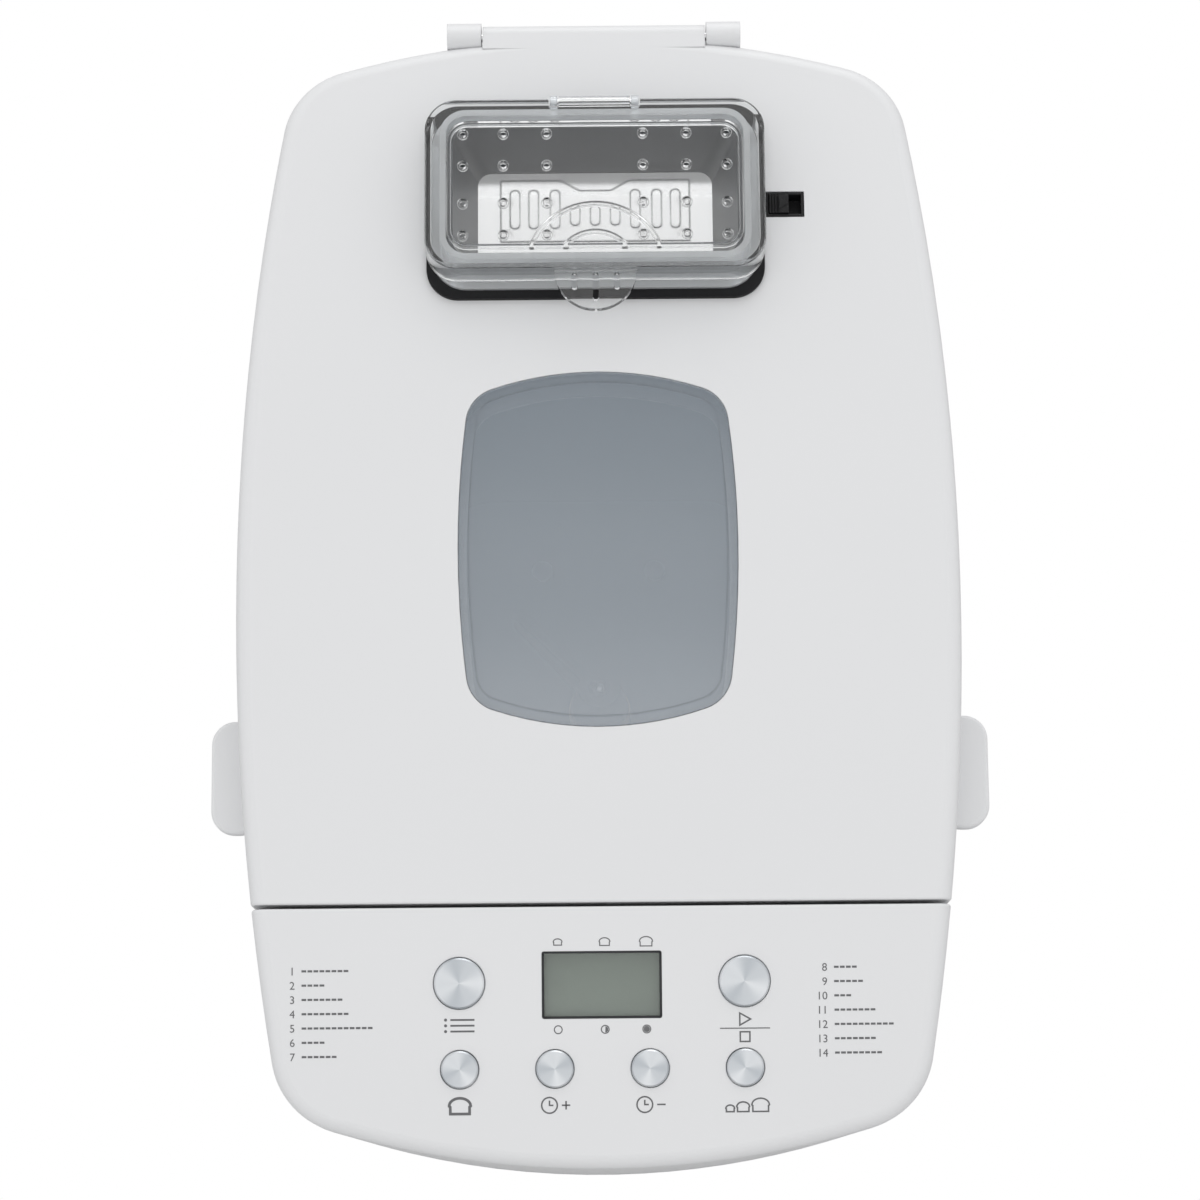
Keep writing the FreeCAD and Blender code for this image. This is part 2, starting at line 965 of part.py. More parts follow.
def baking_chamber():
    flange_top = -deck_drop - deck_thickness
    outer = chamber_prism(chamber_wall, (chamber_base, 2 * rim_height))
    lip = chamber_prism(chamber_wall + chamber_flange, (chamber_base, 2 * rim_height))
    lip = lip.common(top_slab((flange_top - chamber_wall, flange_top)))
    outer = outer.cut(top_slab((flange_top, span)))
    shell = join(outer, lip)
    inside = chamber_prism(0, (chamber_floor, 2 * rim_height))
    neck = post(housing_neck + slip_gap, 0, pan_y, (0, pan_bottom))
    out = chamber_front - pan_gap
    leads = [rod(element_radius + slip_gap, vec(x, out, chamber_floor + element_height),
                 vec(x, pan_y, chamber_floor + element_height)) for x in element_leads]
    probe = probe_axis(probe_radius + run_fit, out, pan_y)
    return trim(shell, inside, neck, probe, *leads, *deck_holes())


socket_inner = foot_ring_outer + lug_reach + socket_play
lug_low = chamber_floor + socket_base + slip_gap
socket_lip_low = lug_low + lug_height + slip_gap
socket_top = socket_lip_low + socket_lip


def sector(angle, half_angle, radius, z):
    """Wedge about the kneading axis, wide enough to pass radius."""
    far = 2 * radius
    corners = [vec(0, 0, z[0])]
    for turn in (angle - half_angle, angle + half_angle):
        corners.append(vec(far * math.cos(math.radians(turn)), far * math.sin(math.radians(turn)), z[0]))
    face = Part.Face(Part.makePolygon(corners + corners[:1]))
    wedge = face.extrude(vec(0, 0, z[1] - z[0]))
    wedge.translate(vec(0, pan_y, 0))
    return wedge


def lug_angles():
    return [90.0 + index * 360.0 / lug_count for index in range(lug_count)]


def pan_socket():
    outer = socket_inner + socket_wall
    body = post(outer, 0, pan_y, (chamber_floor, socket_top))
    well = post(socket_inner, 0, pan_y, (chamber_floor + socket_base, socket_lip_low))
    throat = post(foot_ring_outer + socket_play, 0, pan_y, (socket_lip_low, socket_top + socket_lip))
    floor_hole = post(dog_radius + socket_play, 0, pan_y, (0, pan_bottom))
    notches = []
    for angle in lug_angles():
        notch = sector(angle + pan_twist, lug_half_angle + notch_margin, outer, (socket_lip_low, pan_bottom))
        notches.append(notch.common(post(socket_inner, 0, pan_y, (0, pan_bottom))))
    return trim(body, well, throat, floor_hole, *notches)


# Pan
def pan_prism(outset, z):
    x = pan_width / 2 + outset
    y = pan_length / 2 + outset
    return plate((-x, x), (pan_y - y, pan_y + y), z, pan_corner + outset)


def rivet_places():
    return [(x, pan_y + y) for x in (-rivet_x, rivet_x) for y in (-rivet_y, rivet_y)]


def bread_pan():
    body = pan_prism(0, (pan_bottom, pan_rim))
    lip = pan_prism(pan_lip, (pan_rim - pan_wall, pan_rim))
    inside = pan_prism(-pan_wall, (pan_floor, pan_rim + pan_height))
    hole = post(bush_radius + run_fit, 0, pan_y, (0, pan_rim))
    rivets = [post(rivet_radius + run_fit, x, y, (0, pan_rim)) for x, y in rivet_places()]
    return trim(join(body, lip), inside, hole, *rivets)


def pan_foot():
    plate_low = pan_bottom - foot_plate
    base = plate((-foot_plate_half_x, foot_plate_half_x),
                 (pan_y - foot_plate_half_y, pan_y + foot_plate_half_y), (plate_low, pan_bottom),
                 foot_ring_wall)
    collar = ring(foot_ring_outer, foot_ring_outer - foot_ring_wall, 0, pan_y, (lug_low, pan_bottom))
    reach = foot_ring_outer + lug_reach
    lugs = ring(reach, foot_ring_outer - foot_ring_wall, 0, pan_y, (lug_low, lug_low + lug_height))
    teeth = [lugs.common(sector(angle, lug_half_angle, reach, (lug_low, pan_bottom)))
             for angle in lug_angles()]
    hole = post(bush_radius + run_fit, 0, pan_y, (0, pan_rim))
    rivets = [post(rivet_radius + run_fit, x, y, (0, pan_rim)) for x, y in rivet_places()]
    return trim(join(base, collar, *teeth), hole, *rivets)


def pan_rivets():
    shapes = []
    for x, y in rivet_places():
        under = pan_bottom - foot_plate
        stem = post(rivet_radius, x, y, (under - rivet_head_height, pan_floor + rivet_head_height))
        top = post(rivet_head, x, y, (pan_floor, pan_floor + rivet_head_height))
        low = post(rivet_head, x, y, (under - rivet_head_height, under))
        shapes.append(join(stem, top, low))
    return Part.makeCompound(shapes)


bush_top = pan_floor + bush_rise
bush_low = pan_bottom - bush_drop
hub_low = bush_top + hub_gap
shaft_top = hub_low + hub_height + shaft_show


def pan_bush():
    body = post(bush_radius, 0, pan_y, (bush_low, bush_top))
    flange = post(bush_flange, 0, pan_y, (pan_floor, pan_floor + bush_flange_height))
    return trim(join(body, flange), post(shaft_radius + run_fit, 0, pan_y, (0, pan_rim)))


def pan_shaft():
    low = wing_z()[0]
    stem = post(shaft_radius, 0, pan_y, (low, shaft_top))
    rim = [edge for edge in stem.Edges if edge.BoundBox.ZMin > shaft_top - shaft_chamfer]
    stem = stem.makeChamfer(shaft_chamfer, rim)
    wing = block((-wing_half_length, wing_half_length),
                 (pan_y - wing_half_width, pan_y + wing_half_width), wing_z())
    return join(stem, wing)


def kneading_blade():
    top = hub_low + hub_height
    hub = Part.makeCone(hub_radius, hub_top_radius, hub_height, vec(0, pan_y, hub_low))
    foot = hub_low - blade_drop
    points = [(0, foot), (blade_length, foot), (blade_length, foot + blade_tip_height),
              (hub_top_radius, foot + blade_root_height), (0, foot + blade_root_height)]
    fin = profile_x(points, (-blade_thickness / 2, blade_thickness / 2))
    fin.rotate(vec(0, 0, 0), vec(0, 0, 1), blade_angle - 90.0)
    fin.translate(vec(0, pan_y, 0))
    under = post(bush_flange + hub_gap, 0, pan_y, (0, hub_low))
    bore = post(shaft_radius + run_fit, 0, pan_y, (0, top + shaft_top))
    return trim(join(hub, trim(fin, under)), bore)


def handle_lugs():
    z = pan_rim - handle_drop
    shapes = []
    for sign in (-1, 1):
        x = sorted((sign * pan_width / 2, sign * (pan_width / 2 + lug_thickness)))
        body = block(x, (pan_y - lug_length / 2, pan_y + lug_length / 2),
                     (z - lug_plate_height / 2, z + lug_plate_height / 2))
        shapes.append(body.cut(bar_x(handle_radius + run_fit, (-half_width, half_width), pan_y, z)))
    return Part.makeCompound(shapes)


def pan_handle():
    """Bail that lies folded to the rear, its cross bar on the rim of the pan."""
    z = pan_rim - handle_drop
    rise = handle_drop + handle_radius + handle_clear
    side = pan_width / 2 + lug_thickness + handle_side
    hook = pan_width / 2 + handle_clear
    run = math.sqrt(handle_reach ** 2 - rise ** 2)
    points = [vec(-hook, pan_y, z), vec(-side, pan_y, z), vec(-side, pan_y + run, z + rise),
              vec(side, pan_y + run, z + rise), vec(side, pan_y, z), vec(hook, pan_y, z)]
    bends = [handle_hook_bend, handle_bend, handle_bend, handle_hook_bend]
    return bent_rod(points, bends, handle_radius)


# Drive
dog_low = chamber_floor + housing_neck_rise + dog_gap


def wing_z():
    low = dog_low + dog_thickness + wing_lift
    return (low, low + wing_height)


def bearing_housing():
    body = post(housing_radius, 0, pan_y, (pulley_z()[1] + dog_gap, chassis_top))
    flange = post(housing_flange, 0, pan_y, (chassis_top, chassis_top + housing_flange_height))
    neck = post(housing_neck, 0, pan_y, (chassis_top, chamber_floor + housing_neck_rise))
    return trim(join(body, flange, neck), post(shaft_radius + run_fit, 0, pan_y, (0, pan_rim)))


def chassis_plate():
    y = (motor_y - motor_radius, pan_y + chassis_overhang)
    body = plate((-chassis_half, chassis_half), y, (chassis_z, chassis_top), chassis_corner)
    bearing = post(housing_radius + run_fit, 0, pan_y, (0, pan_rim))
    motor_hole = post(motor_shaft_radius + slip_gap, 0, motor_y, (0, pan_rim))
    return trim(body, bearing, motor_hole)


def drive_shaft():
    stem = post(shaft_radius, 0, pan_y, (pulley_z()[0] - shaft_tail, dog_low))
    dog = post(dog_radius, 0, pan_y, (dog_low, dog_low + dog_thickness))
    top = dog_low + dog_thickness
    pins = [post(dog_post_radius, 0, pan_y + side, (dog_low, top + dog_post_height))
            for side in (-dog_post_circle, dog_post_circle)]
    return join(stem, dog, *pins)


def pulley_z():
    low = tray_top + pulley_lift
    return (low, low + pulley_height)


def pulley(radius, bore, y):
    """Flat-belt pulley with a flange at each edge."""
    low, high = pulley_z()
    body = post(radius, 0, y, (low, high))
    rims = [post(radius + pulley_flange, 0, y, (low, low + pulley_flange_height)),
            post(radius + pulley_flange, 0, y, (high - pulley_flange_height, high))]
    return trim(join(body, *rims), post(bore + run_fit, 0, y, (0, pan_rim)))


def driven_pulley():
    return pulley(pulley_radius, shaft_radius, pan_y)


def motor_pulley():
    return pulley(small_pulley_radius, motor_shaft_radius, motor_y)


def belt_wire(outset, z):
    """Loop round both pulleys: two arcs and two straight runs."""
    big = pulley_radius + outset
    small = small_pulley_radius + outset
    angle = math.acos((big - small) / (pan_y - motor_y))
    sine, cosine = math.sin(angle), math.cos(angle)
    big_right = vec(big * sine, pan_y - big * cosine, z)
    small_right = vec(small * sine, motor_y - small * cosine, z)
    big_far = vec(0, pan_y + big, z)
    small_far = vec(0, motor_y - small, z)
    edges = [
        Part.Arc(big_right, big_far, mirrored(big_right)).toShape(),
        Part.makeLine(mirrored(big_right), mirrored(small_right)),
        Part.Arc(mirrored(small_right), small_far, small_right).toShape(),
        Part.makeLine(small_right, big_right),
    ]
    return Part.Wire(edges)


def drive_belt():
    low, high = grow(pulley_z(), -pulley_flange_height - slip_gap)
    lift = vec(0, 0, high - low)
    outer = Part.Face(belt_wire(slip_gap + belt_thickness, low)).extrude(lift)
    inner = Part.Face(belt_wire(slip_gap, low)).extrude(lift)
    return single(outer.cut(inner))


def motor():
    top = chassis_top + motor_height
    can = post(motor_radius, 0, motor_y, (chassis_top, top))
    cap = post(motor_cap_radius, 0, motor_y, (top, top + motor_cap_height))
    return trim(join(can, cap), post(motor_shaft_radius + run_fit, 0, motor_y, (0, pan_rim)))


def motor_shaft():
    top = chassis_top + motor_height + motor_cap_height + motor_shaft_show
    return post(motor_shaft_radius, 0, motor_y, (pulley_z()[0] - shaft_tail, top))


def motor_capacitor():
    length, depth, height = capacitor_size
    rear = board_span()[1]
    return plate((capacitor_x, capacitor_x + length), (rear - depth, rear), (tray_top, tray_top + height),
                 capacitor_round)


def power_board():
    low = tray_top + board_lift
    top = low + board_thickness
    y = board_span()
    board = block(board_x, y, (low, top))
    coil_x, coil_y, coil_z = coil_block
    coil = block((board_x[0] + block_margin, board_x[0] + block_margin + coil_x),
                 (y[0] + block_margin, y[0] + block_margin + coil_y), (low, top + coil_z))
    relay_x, relay_y, relay_z = relay_block
    relay = block((board_x[1] - block_margin - relay_x, board_x[1] - block_margin),
                  (y[0] + block_margin, y[0] + block_margin + relay_y), (low, top + relay_z))
    return join(board, coil, relay)


# Control panel
def top_edges(shape, form, floor_z):
    """Edges between the crowned top and the outline's upright walls."""
    side = outline_prism(form, 0, (floor_z, span)).Faces
    found = []
    for edge in shape.Edges:
        middle = edge.valueAt((edge.FirstParameter + edge.LastParameter) / 2)
        if is_upright(edge) or middle.z < crown_z(middle.y) - seat_gap:
            continue
        if min(face.distToShape(Part.Vertex(middle))[0] for face in side) < on_face:
            found.append(edge)
    return found


def split_edges(shape, y):
    """The top edge along the gap between lid and panel."""
    found = []
    for edge in shape.Edges:
        box = edge.BoundBox
        if abs(box.YMin - y) < seat_gap and abs(box.YMax - y) < seat_gap and box.XLength > half_width:
            if box.ZMin > crown_z(y) - seat_gap:
                found.append(edge)
    return found


def crowned(y, low):
    """Solid under the crowned top between two cross planes, with rounded upper edges."""
    slab = outline_prism(CASE, 0, (low, span)).common(under_crown(0))
    slab = single(slab.common(block((-span, span), y, (-span, span))))
    slab = slab.makeFillet(top_round, top_edges(slab, CASE, low))
    edge = y[0] if abs(y[0]) < abs(y[1]) else y[1]
    straight = split_edges(slab, edge)
    return slab.makeFillet(split_round, straight) if straight else slab


def crowned_hollow(y, low):
    slab = outline_prism(CASE, wall, (low - wall, span)).common(under_crown(wall))
    return slab.common(block((-span, span), y, (-span, span)))


def button_places():
    return {
        "menu_button": (big_button, -outer_column, upper_row),
        "start_button": (big_button, outer_column, upper_row),
        "crust_button": (small_button, -outer_column, lower_row),
        "time_up_button": (small_button, -inner_column, lower_row),
        "time_down_button": (small_button, inner_column, lower_row),
        "size_button": (small_button, outer_column, lower_row),
    }


def lcd_span(margin):
    x = (-lcd_width / 2 - margin, lcd_width / 2 + margin)
    y = (lcd_middle - lcd_height / 2 - margin, lcd_middle + lcd_height / 2 + margin)
    return x, y


def in_panel(shape):
    return placed(shape, PANEL)


def control_panel():
    body = crowned((-span, panel_rear), 0)
    hollow = crowned_hollow((-span, panel_rear - wall), 0)
    outer = outline_prism(CASE, -groove_depth, (-groove_height, groove_height))
    groove = outer.cut(outline_prism(CASE, groove_depth, (-groove_height, groove_height)))
    shell = single(body.cut(hollow).cut(groove))
    posts = [in_panel(post(control_post_radius, x, y, (-control_depth, -wall / 2)))
             for x, y in control_screw_places()]
    shell = join(shell, *posts)
    depth = (-control_depth - wall, wall)
    holes = [in_panel(post(radius + button_gap, x, y, depth))
             for radius, x, y in button_places().values()]
    x, y = lcd_span(0)
    holes.append(in_panel(plate(x, y, depth, lcd_corner)))
    pilot = (-control_depth - wall, -control_depth + screw_bite + wall / 2)
    holes += [in_panel(post(screw_radius + run_fit, x, y, pilot)) for x, y in control_screw_places()]
    return on_top(trim(shell, *holes))


def switch_top():
    return -control_depth + switch_height + switch_plunger_height


def button(radius, x, y):
    cap = post(radius, x, y, (-button_body, button_rise))
    rim = [edge for edge in cap.Edges if edge.BoundBox.ZMin > button_rise - seat_gap]
    cap = cap.makeChamfer(button_chamfer, rim)
    flange = post(radius + button_flange, x, y, (-button_body, -button_body + button_flange_height))
    stem = post(stem_radius, x, y, (switch_top() + button_travel + switch_gap, -button_body))
    return on_panel(join(cap, flange, stem))


def control_board():
    board = block((-control_half, control_half), (control_front, control_rear),
                  (-control_depth - board_thickness, -control_depth))
    holes = [post(screw_radius + run_fit, x, y, (-span, 0)) for x, y in control_screw_places()]
    return on_panel(trim(board, *holes))


def tact_switches():
    low = -control_depth
    shapes = []
    for place in button_places().values():
        x, y = place[1:]
        body = block((x - switch_half, x + switch_half), (y - switch_half, y + switch_half),
                     (low, low + switch_height))
        shapes.append(on_panel(join(body, post(switch_plunger, x, y, (low, switch_top())))))
    return Part.makeCompound(shapes)


def lens_top():
    return -wall - slip_gap


def lcd_lens():
    x, y = lcd_span(lens_margin)
    return on_panel(plate(x, y, (lens_top() - lens_thickness, lens_top()), lcd_corner))


def lcd_module():
    x, y = lcd_span(module_margin)
    return on_panel(block(x, y, (-control_depth, lens_top() - lens_thickness - seat_gap)))


# Lid
frame_low = lid_gap
frame_top = frame_low + frame_height
liner_low = frame_top + seat_gap
liner_top = liner_low + liner_thickness
shell_low = frame_top + seat_gap

WINDOW_MIDDLE = (window_front + window_rear) / 2
WINDOW_REACH = (window_rear - window_front) / 2
WINDOW = outline(WINDOW_REACH, WINDOW_REACH, window_half, 0.0, window_side_radius, window_end_radius,
                 window_corner)


def window_prism(inset, z):
    prism = outline_prism(WINDOW, inset, z)
    prism.translate(vec(0, WINDOW_MIDDLE, 0))
    return prism


def boss_points():
    return [(sign * (case_half_top(y) - boss_inset), y) for y in boss_places for sign in (-1, 1)]


def case_half_top(y):
    return half_width - side_radius + math.sqrt(side_radius ** 2 - y ** 2)


def in_dispenser(shape):
    return placed(shape, DISPENSER)


def rim_span(outset):
    return (-rim_half - outset, rim_half + outset), (rim_front - outset, rim_rear + outset)


def rim_opening():
    x, y = rim_span(hopper_gap)
    return in_dispenser(plate(x, y, (-span, span), rim_corner + hopper_gap))


def release_span(inset):
    x = (release_x + inset, release_x + release_length - inset)
    y = (release_y - release_half + inset, release_y + release_half - inset)
    return x, y


def hinge_cuts():
    """Room in the lid for the two knuckles of the case."""
    cuts = []
    for x in both_sides((knuckle_inner, knuckle_inner + knuckle_length)):
        wide = grow(x, hinge_side_gap)
        cuts.append(bar_x(knuckle_radius + hinge_side_gap, wide, hinge_y, hinge_rise))
        front = hinge_y - knuckle_thickness / 2 + slip_gap - hinge_side_gap
        cuts.append(block(wide, (front, span), (-span, hinge_rise)))
        above = (hinge_rise, span)
        cuts.append(block(wide, (hinge_y - hinge_side_gap, span), above))
    return cuts


def hinge_bar():
    reach = knuckle_inner - hinge_side_gap
    barrel = bar_x(hinge_bar_radius, (-reach, reach), hinge_y, hinge_rise)
    root = rear_reach - end_radius + math.sqrt(end_radius ** 2 - reach ** 2) - wall
    web = block((-reach, reach), (root, hinge_y), (hinge_rise - hinge_bar_radius, span))
    inside = outline_prism(CASE, wall, (-span, span)).common(under_crown(wall))
    return join(barrel, trim(web.common(under_crown(0)), inside))


def lid_shell():
    body = crowned((lid_front, span), shell_low)
    hollow = crowned_hollow((lid_front + wall, span), shell_low)
    shell = single(body.cut(hollow))
    under = under_crown(wall / 2)
    posts = [post(boss_radius, x, y, (liner_top, span)).common(under) for x, y in boss_points()]
    shell = join(shell, hinge_bar(), *posts)
    pilots = [post(screw_radius + run_fit, x, y, (0, liner_top + screw_bite)) for x, y in boss_points()]
    x, y = release_span(-release_gap)
    tray = in_dispenser(block(x, y, (-span, span)))
    room = window_prism(0, (liner_top, span))
    return on_top(trim(shell, room, rim_opening(), tray, hinge_bore(), *hinge_cuts(), *pilots))


def lift_tab(sign):
    """Rounded tab that stands out from the lid's edge, to lift it by."""
    edge = case_half_top(tab_middle)
    x = sorted((sign * (edge - tab_root), sign * (edge + tab_reach)))
    y = (tab_middle - tab_length / 2, tab_middle + tab_length / 2)
    tab = plate(x, y, (frame_low, frame_low + tab_height), tab_round)
    rim = [edge for edge in tab.Edges if not is_upright(edge)]
    tab = tab.makeFillet(tab_edge, rim)
    return tab.cut(outline_prism(CASE, -slip_gap, (frame_top, span)))


def lid_frame():
    rim = outline_prism(CASE, 0, (frame_low, frame_top))
    rim = rim.common(block((-span, span), (lid_front, span), (-span, span)))
    inside = outline_prism(CASE, frame_width, (-span, span))
    inside = inside.common(block((-span, span), (lid_front + frame_width, span), (-span, span)))
    body = join(single(rim.cut(inside)), lift_tab(-1), lift_tab(1))
    holes = []
    for x, y in boss_points():
        holes.append(post(screw_radius + run_fit, x, y, (-span, span)))
        holes.append(post(screw_head_radius + slip_gap, x, y, (-span, lid_screw_seat())))
    return on_top(trim(body, *holes, *hinge_cuts()))


def lid_screw_seat():
    return frame_low + screw_head_height


def lid_screws():
    shapes = [screw(x, y, lid_screw_seat(), liner_top + screw_bite - seat_gap) for x, y in boss_points()]
    return Part.makeCompound([on_top(shape) for shape in shapes])


def liner_opening():
    """Room for the flap and its barrel to swing down through the liner."""
    x = hopper_mouth_half + hopper_wall + flap_barrel_radius
    y = (hopper_mouth_front - hopper_wall - flap_barrel_radius, flap_pin_y() + 2 * flap_barrel_radius)
    return in_dispenser(block((-x, x), y, (-span, span)))


def lid_liner():
    inset = wall + slip_gap
    body = outline_prism(CASE, inset, (liner_low, liner_top))
    body = body.common(block((-span, span), (lid_front + inset, span), (-span, span)))
    holes = [post(screw_radius + run_fit, x, y, (-span, span)) for x, y in boss_points()]
    window = window_prism(liner_window_inset, (-span, span))
    return on_top(trim(single(body), window, liner_opening(), *holes, *hinge_cuts()))


def window_outer():
    plug = window_prism(window_gap, (liner_top, span)).common(under_crown(0))
    flange_room = under_crown(pane_thickness + seat_gap)
    below = under_crown(pane_thickness + seat_gap + pane_flange_thickness)
    plug = plug.cut(below)
    flange = window_prism(-pane_flange, (liner_top, span)).common(flange_room).cut(below)
    groove = window_prism(pane_groove_inset, (liner_top, span))
    groove = groove.cut(window_prism(pane_groove_inset + pane_groove_width, (liner_top, span)))
    groove = groove.cut(under_crown(pane_groove_depth))
    return on_top(trim(join(single(plug), single(flange)), groove))


def window_seal():
    outer = window_prism(-seal_outset, (liner_top + glass_thickness + 2 * seat_gap, span))
    tube = outer.cut(window_prism(seal_width - seal_outset, (liner_top, span)))
    room = under_crown(pane_thickness + pane_flange_thickness + 2 * seat_gap)
    return on_top(single(tube.common(room)))


def window_inner():
    low = liner_top + seat_gap
    return on_top(window_prism(-glass_outset, (low, low + glass_thickness)))


# Dispenser
def dispenser_gasket():
    x = grow((-rim_half, rim_half), gasket_outset)
    y = (rim_front - gasket_front, rim_rear + gasket_outset + flange_outset / 2)
    body = in_dispenser(plate(x, y, (-gasket_sink, gasket_height), gasket_corner))
    lid = under_crown(-seat_gap)
    return on_top(trim(body, lid, rim_opening()))


def cover_hinge_y():
    return cover_rear - cover_hinge_ahead


def cover_ear(x):
    """Ear on the rear of the clear rim that carries the cover's pin."""
    y = cover_hinge_y()
    points = [(rim_rear - rim_wall / 2, cover_ear_low), (y, cover_ear_low),
              (y + cover_barrel_radius, cover_hinge_z - cover_barrel_radius),
              (y + cover_barrel_radius, cover_hinge_z), (y - cover_barrel_radius, cover_hinge_z),
              (y - cover_barrel_radius, cover_hinge_z - 2 * cover_barrel_radius),
              (rim_rear - rim_wall / 2, cover_hinge_z - 2 * cover_barrel_radius)]
    barrel = bar_x(cover_barrel_radius, x, y, cover_hinge_z)
    return join(profile_x(points, x), barrel)


def cover_ear_spans():
    low = cover_barrel_half + cover_ear_gap
    return both_sides((low, low + cover_ear_width))


def dispenser_rim():
    x, y = rim_span(0)
    body = plate(x, y, (-rim_drop, rim_top), rim_corner)
    flange_y = (rim_front - flange_front, rim_rear + flange_outset)
    flange = plate(grow(x, flange_outset), flange_y, (gasket_height, gasket_height + flange_thickness),
                   rim_corner + flange_outset)
    ears = [cover_ear(span_x) for span_x in cover_ear_spans()]
    x, y = rim_span(-rim_wall)
    inside = plate(x, y, (-span, span), rim_corner - rim_wall)
    slot = block((rim_half - 2 * rim_wall, rim_half + rim_wall),
                 (release_y - tongue_half - slip_gap, release_y + tongue_half + slip_gap),
                 (tongue_low - slip_gap, tongue_high + slip_gap))
    reach = cover_barrel_half + cover_ear_gap + cover_ear_width + rim_wall
    bore = bar_x(cover_pin_radius + run_fit, (-reach, reach), cover_hinge_y(), cover_hinge_z)
    return on_dispenser(trim(join(body, flange, *ears), inside, slot, bore))


def cover_pin():
    reach = cover_barrel_half + cover_ear_gap + cover_ear_width
    return on_dispenser(bar_x(cover_pin_radius, (-reach, reach), cover_hinge_y(), cover_hinge_z))


def rounded_wire(x, y, z, radius):
    faces = plate(x, y, (z, z + radius), radius).Faces
    return min(faces, key=lambda face: face.CenterOfMass.z).OuterWire


def mouth_span(outset):
    x = hopper_mouth_half + outset
    return (-x, x), (hopper_mouth_front - outset, hopper_mouth_rear + outset)


def hopper_solid(outset):
    """Tapered inside of the hopper, grown by outset."""
    top = rim_span(outset - rim_wall - hopper_gap - hopper_wall)
    corner = rim_corner - rim_wall - hopper_gap - hopper_wall + outset
    wires = [rounded_wire(*mouth_span(outset), hopper_bottom, corner),
             rounded_wire(*top, hopper_top, corner)]
    return Part.makeLoft(wires, True, True)


def flap_pin_y():
    return hopper_mouth_rear + flap_pin_back


def flap_z():
    top = hopper_bottom - flap_gap
    return (top - flap_thickness, top)


def flap_pin_z():
    return sum(flap_z()) / 2


def hopper_ear(x):
    """Ear on the hopper's rear wall that carries the flap's pin."""
    y, z = flap_pin_y(), flap_pin_z()
    high = hopper_bottom + 3 * ear_radius
    points = [(hopper_mouth_rear, hopper_bottom), (y - ear_radius, hopper_bottom),
              (y - ear_radius, z), (y + ear_radius, z),
              (y + ear_radius, hopper_bottom), (hopper_mouth_rear + hopper_wall, high),
              (hopper_mouth_rear, high)]
    return join(profile_x(points, x), bar_x(ear_radius, x, y, z))


def dispenser_hopper():
    inside = hopper_solid(0)
    walls = hopper_solid(hopper_wall).cut(inside)
    ears = [hopper_ear(x).cut(inside) for x in both_sides(ear_span)]
    reach = hopper_mouth_half + hopper_wall
    bore = bar_x(flap_pin_radius + run_fit, (-reach, reach), flap_pin_y(), flap_pin_z())
    return on_dispenser(trim(join(single(walls), *ears), bore))


def flap_panel():
    """Raised field of the pressed flap, dipping in the middle of its rear edge."""
    rear, front = [hopper_mouth_rear - reach for reach in flap_panel_span]
    near, far = flap_dip_half
    half = [(flap_panel_half, front), (flap_panel_half, rear), (far, rear), (near, rear - flap_dip)]
    plan = half + [(-x, y) for x, y in reversed(half)]
    low, high = flap_z()
    corners = [vec(x, y, low) for x, y in plan]
    face = Part.Face(Part.makePolygon(corners + corners[:1]))
    return face.extrude(vec(0, 0, high + flap_panel_height - low))


def flap_rib(x, reach):
    half = flap_rib_width / 2
    y = (hopper_mouth_rear - reach[1], hopper_mouth_rear - reach[0])
    high = flap_z()[1] + flap_panel_height + flap_rib_height
    return plate((x - half, x + half), y, (flap_z()[0], high), half - run_fit)


def flap_ribs():
    tall = [flap_rib(x, flap_rib_span) for x in flap_rib_places]
    return tall + [flap_rib(x, flap_short_span) for x in flap_short_places]


def dispenser_flap():
    x, y = mouth_span(hopper_wall - slip_gap)
    rear = flap_pin_y() - ear_radius - 2 * slip_gap
    leaf = block(x, (y[0], rear), flap_z())
    barrels = []
    for span_x in both_sides(flap_barrel):
        barrels.append(bar_x(flap_barrel_radius, span_x, flap_pin_y(), flap_pin_z()))
        barrels.append(block(span_x, (rear, flap_pin_y()), flap_z()))
    bore = bar_x(flap_pin_radius + run_fit, (-half_width, half_width), flap_pin_y(), flap_pin_z())
    return on_dispenser(trim(join(leaf, flap_panel(), *flap_ribs(), *barrels), bore))


def crank_x():
    low = -hopper_mouth_half - hopper_wall - crank_side
    return (low - crank_thickness, low)


def flap_pin():
    reach = max(ear_span) + ear_radius
    return on_dispenser(bar_x(flap_pin_radius, (crank_x()[0], reach), flap_pin_y(), flap_pin_z()))


def crank_end():
    """Place of the crank's pin with the flap shut: the arm leans back by half the swing."""
    lean = math.radians(flap_swing / 2)
    return flap_pin_y() + crank_arm * math.sin(lean), flap_pin_z() + crank_arm * math.cos(lean)


def plunger_travel():
    return 2 * crank_arm * math.sin(math.radians(flap_swing / 2))


def flap_crank():
    y, z = flap_pin_y(), flap_pin_z()
    end_y, end_z = crank_end()
    x = crank_x()
    hub = bar_x(crank_hub_radius, x, y, z)
    end = bar_x(crank_hub_radius, x, end_y, end_z)
    lean = math.radians(flap_swing / 2)
    across_y = math.cos(lean) * crank_pin_radius
    across_z = math.sin(lean) * crank_pin_radius
    arm = profile_x([(y - across_y, z + across_z), (end_y - across_y, end_z + across_z),
                     (end_y + across_y, end_z - across_z), (y + across_y, z - across_z)], x)
    pin = bar_x(crank_pin_radius, (x[0] - crank_pin_length, x[1]), end_y, end_z)
    bore = bar_x(flap_pin_radius + run_fit, (x[0] - run_fit, x[1]), y, z)
    return on_dispenser(trim(join(hub, end, arm, pin), bore))


def plunger_x():
    high = crank_x()[0] - yoke_side_gap
    return (high - yoke_thickness, high)


def plunger_z():
    return (crank_end()[1] + flap_pin_z() + crank_arm) / 2


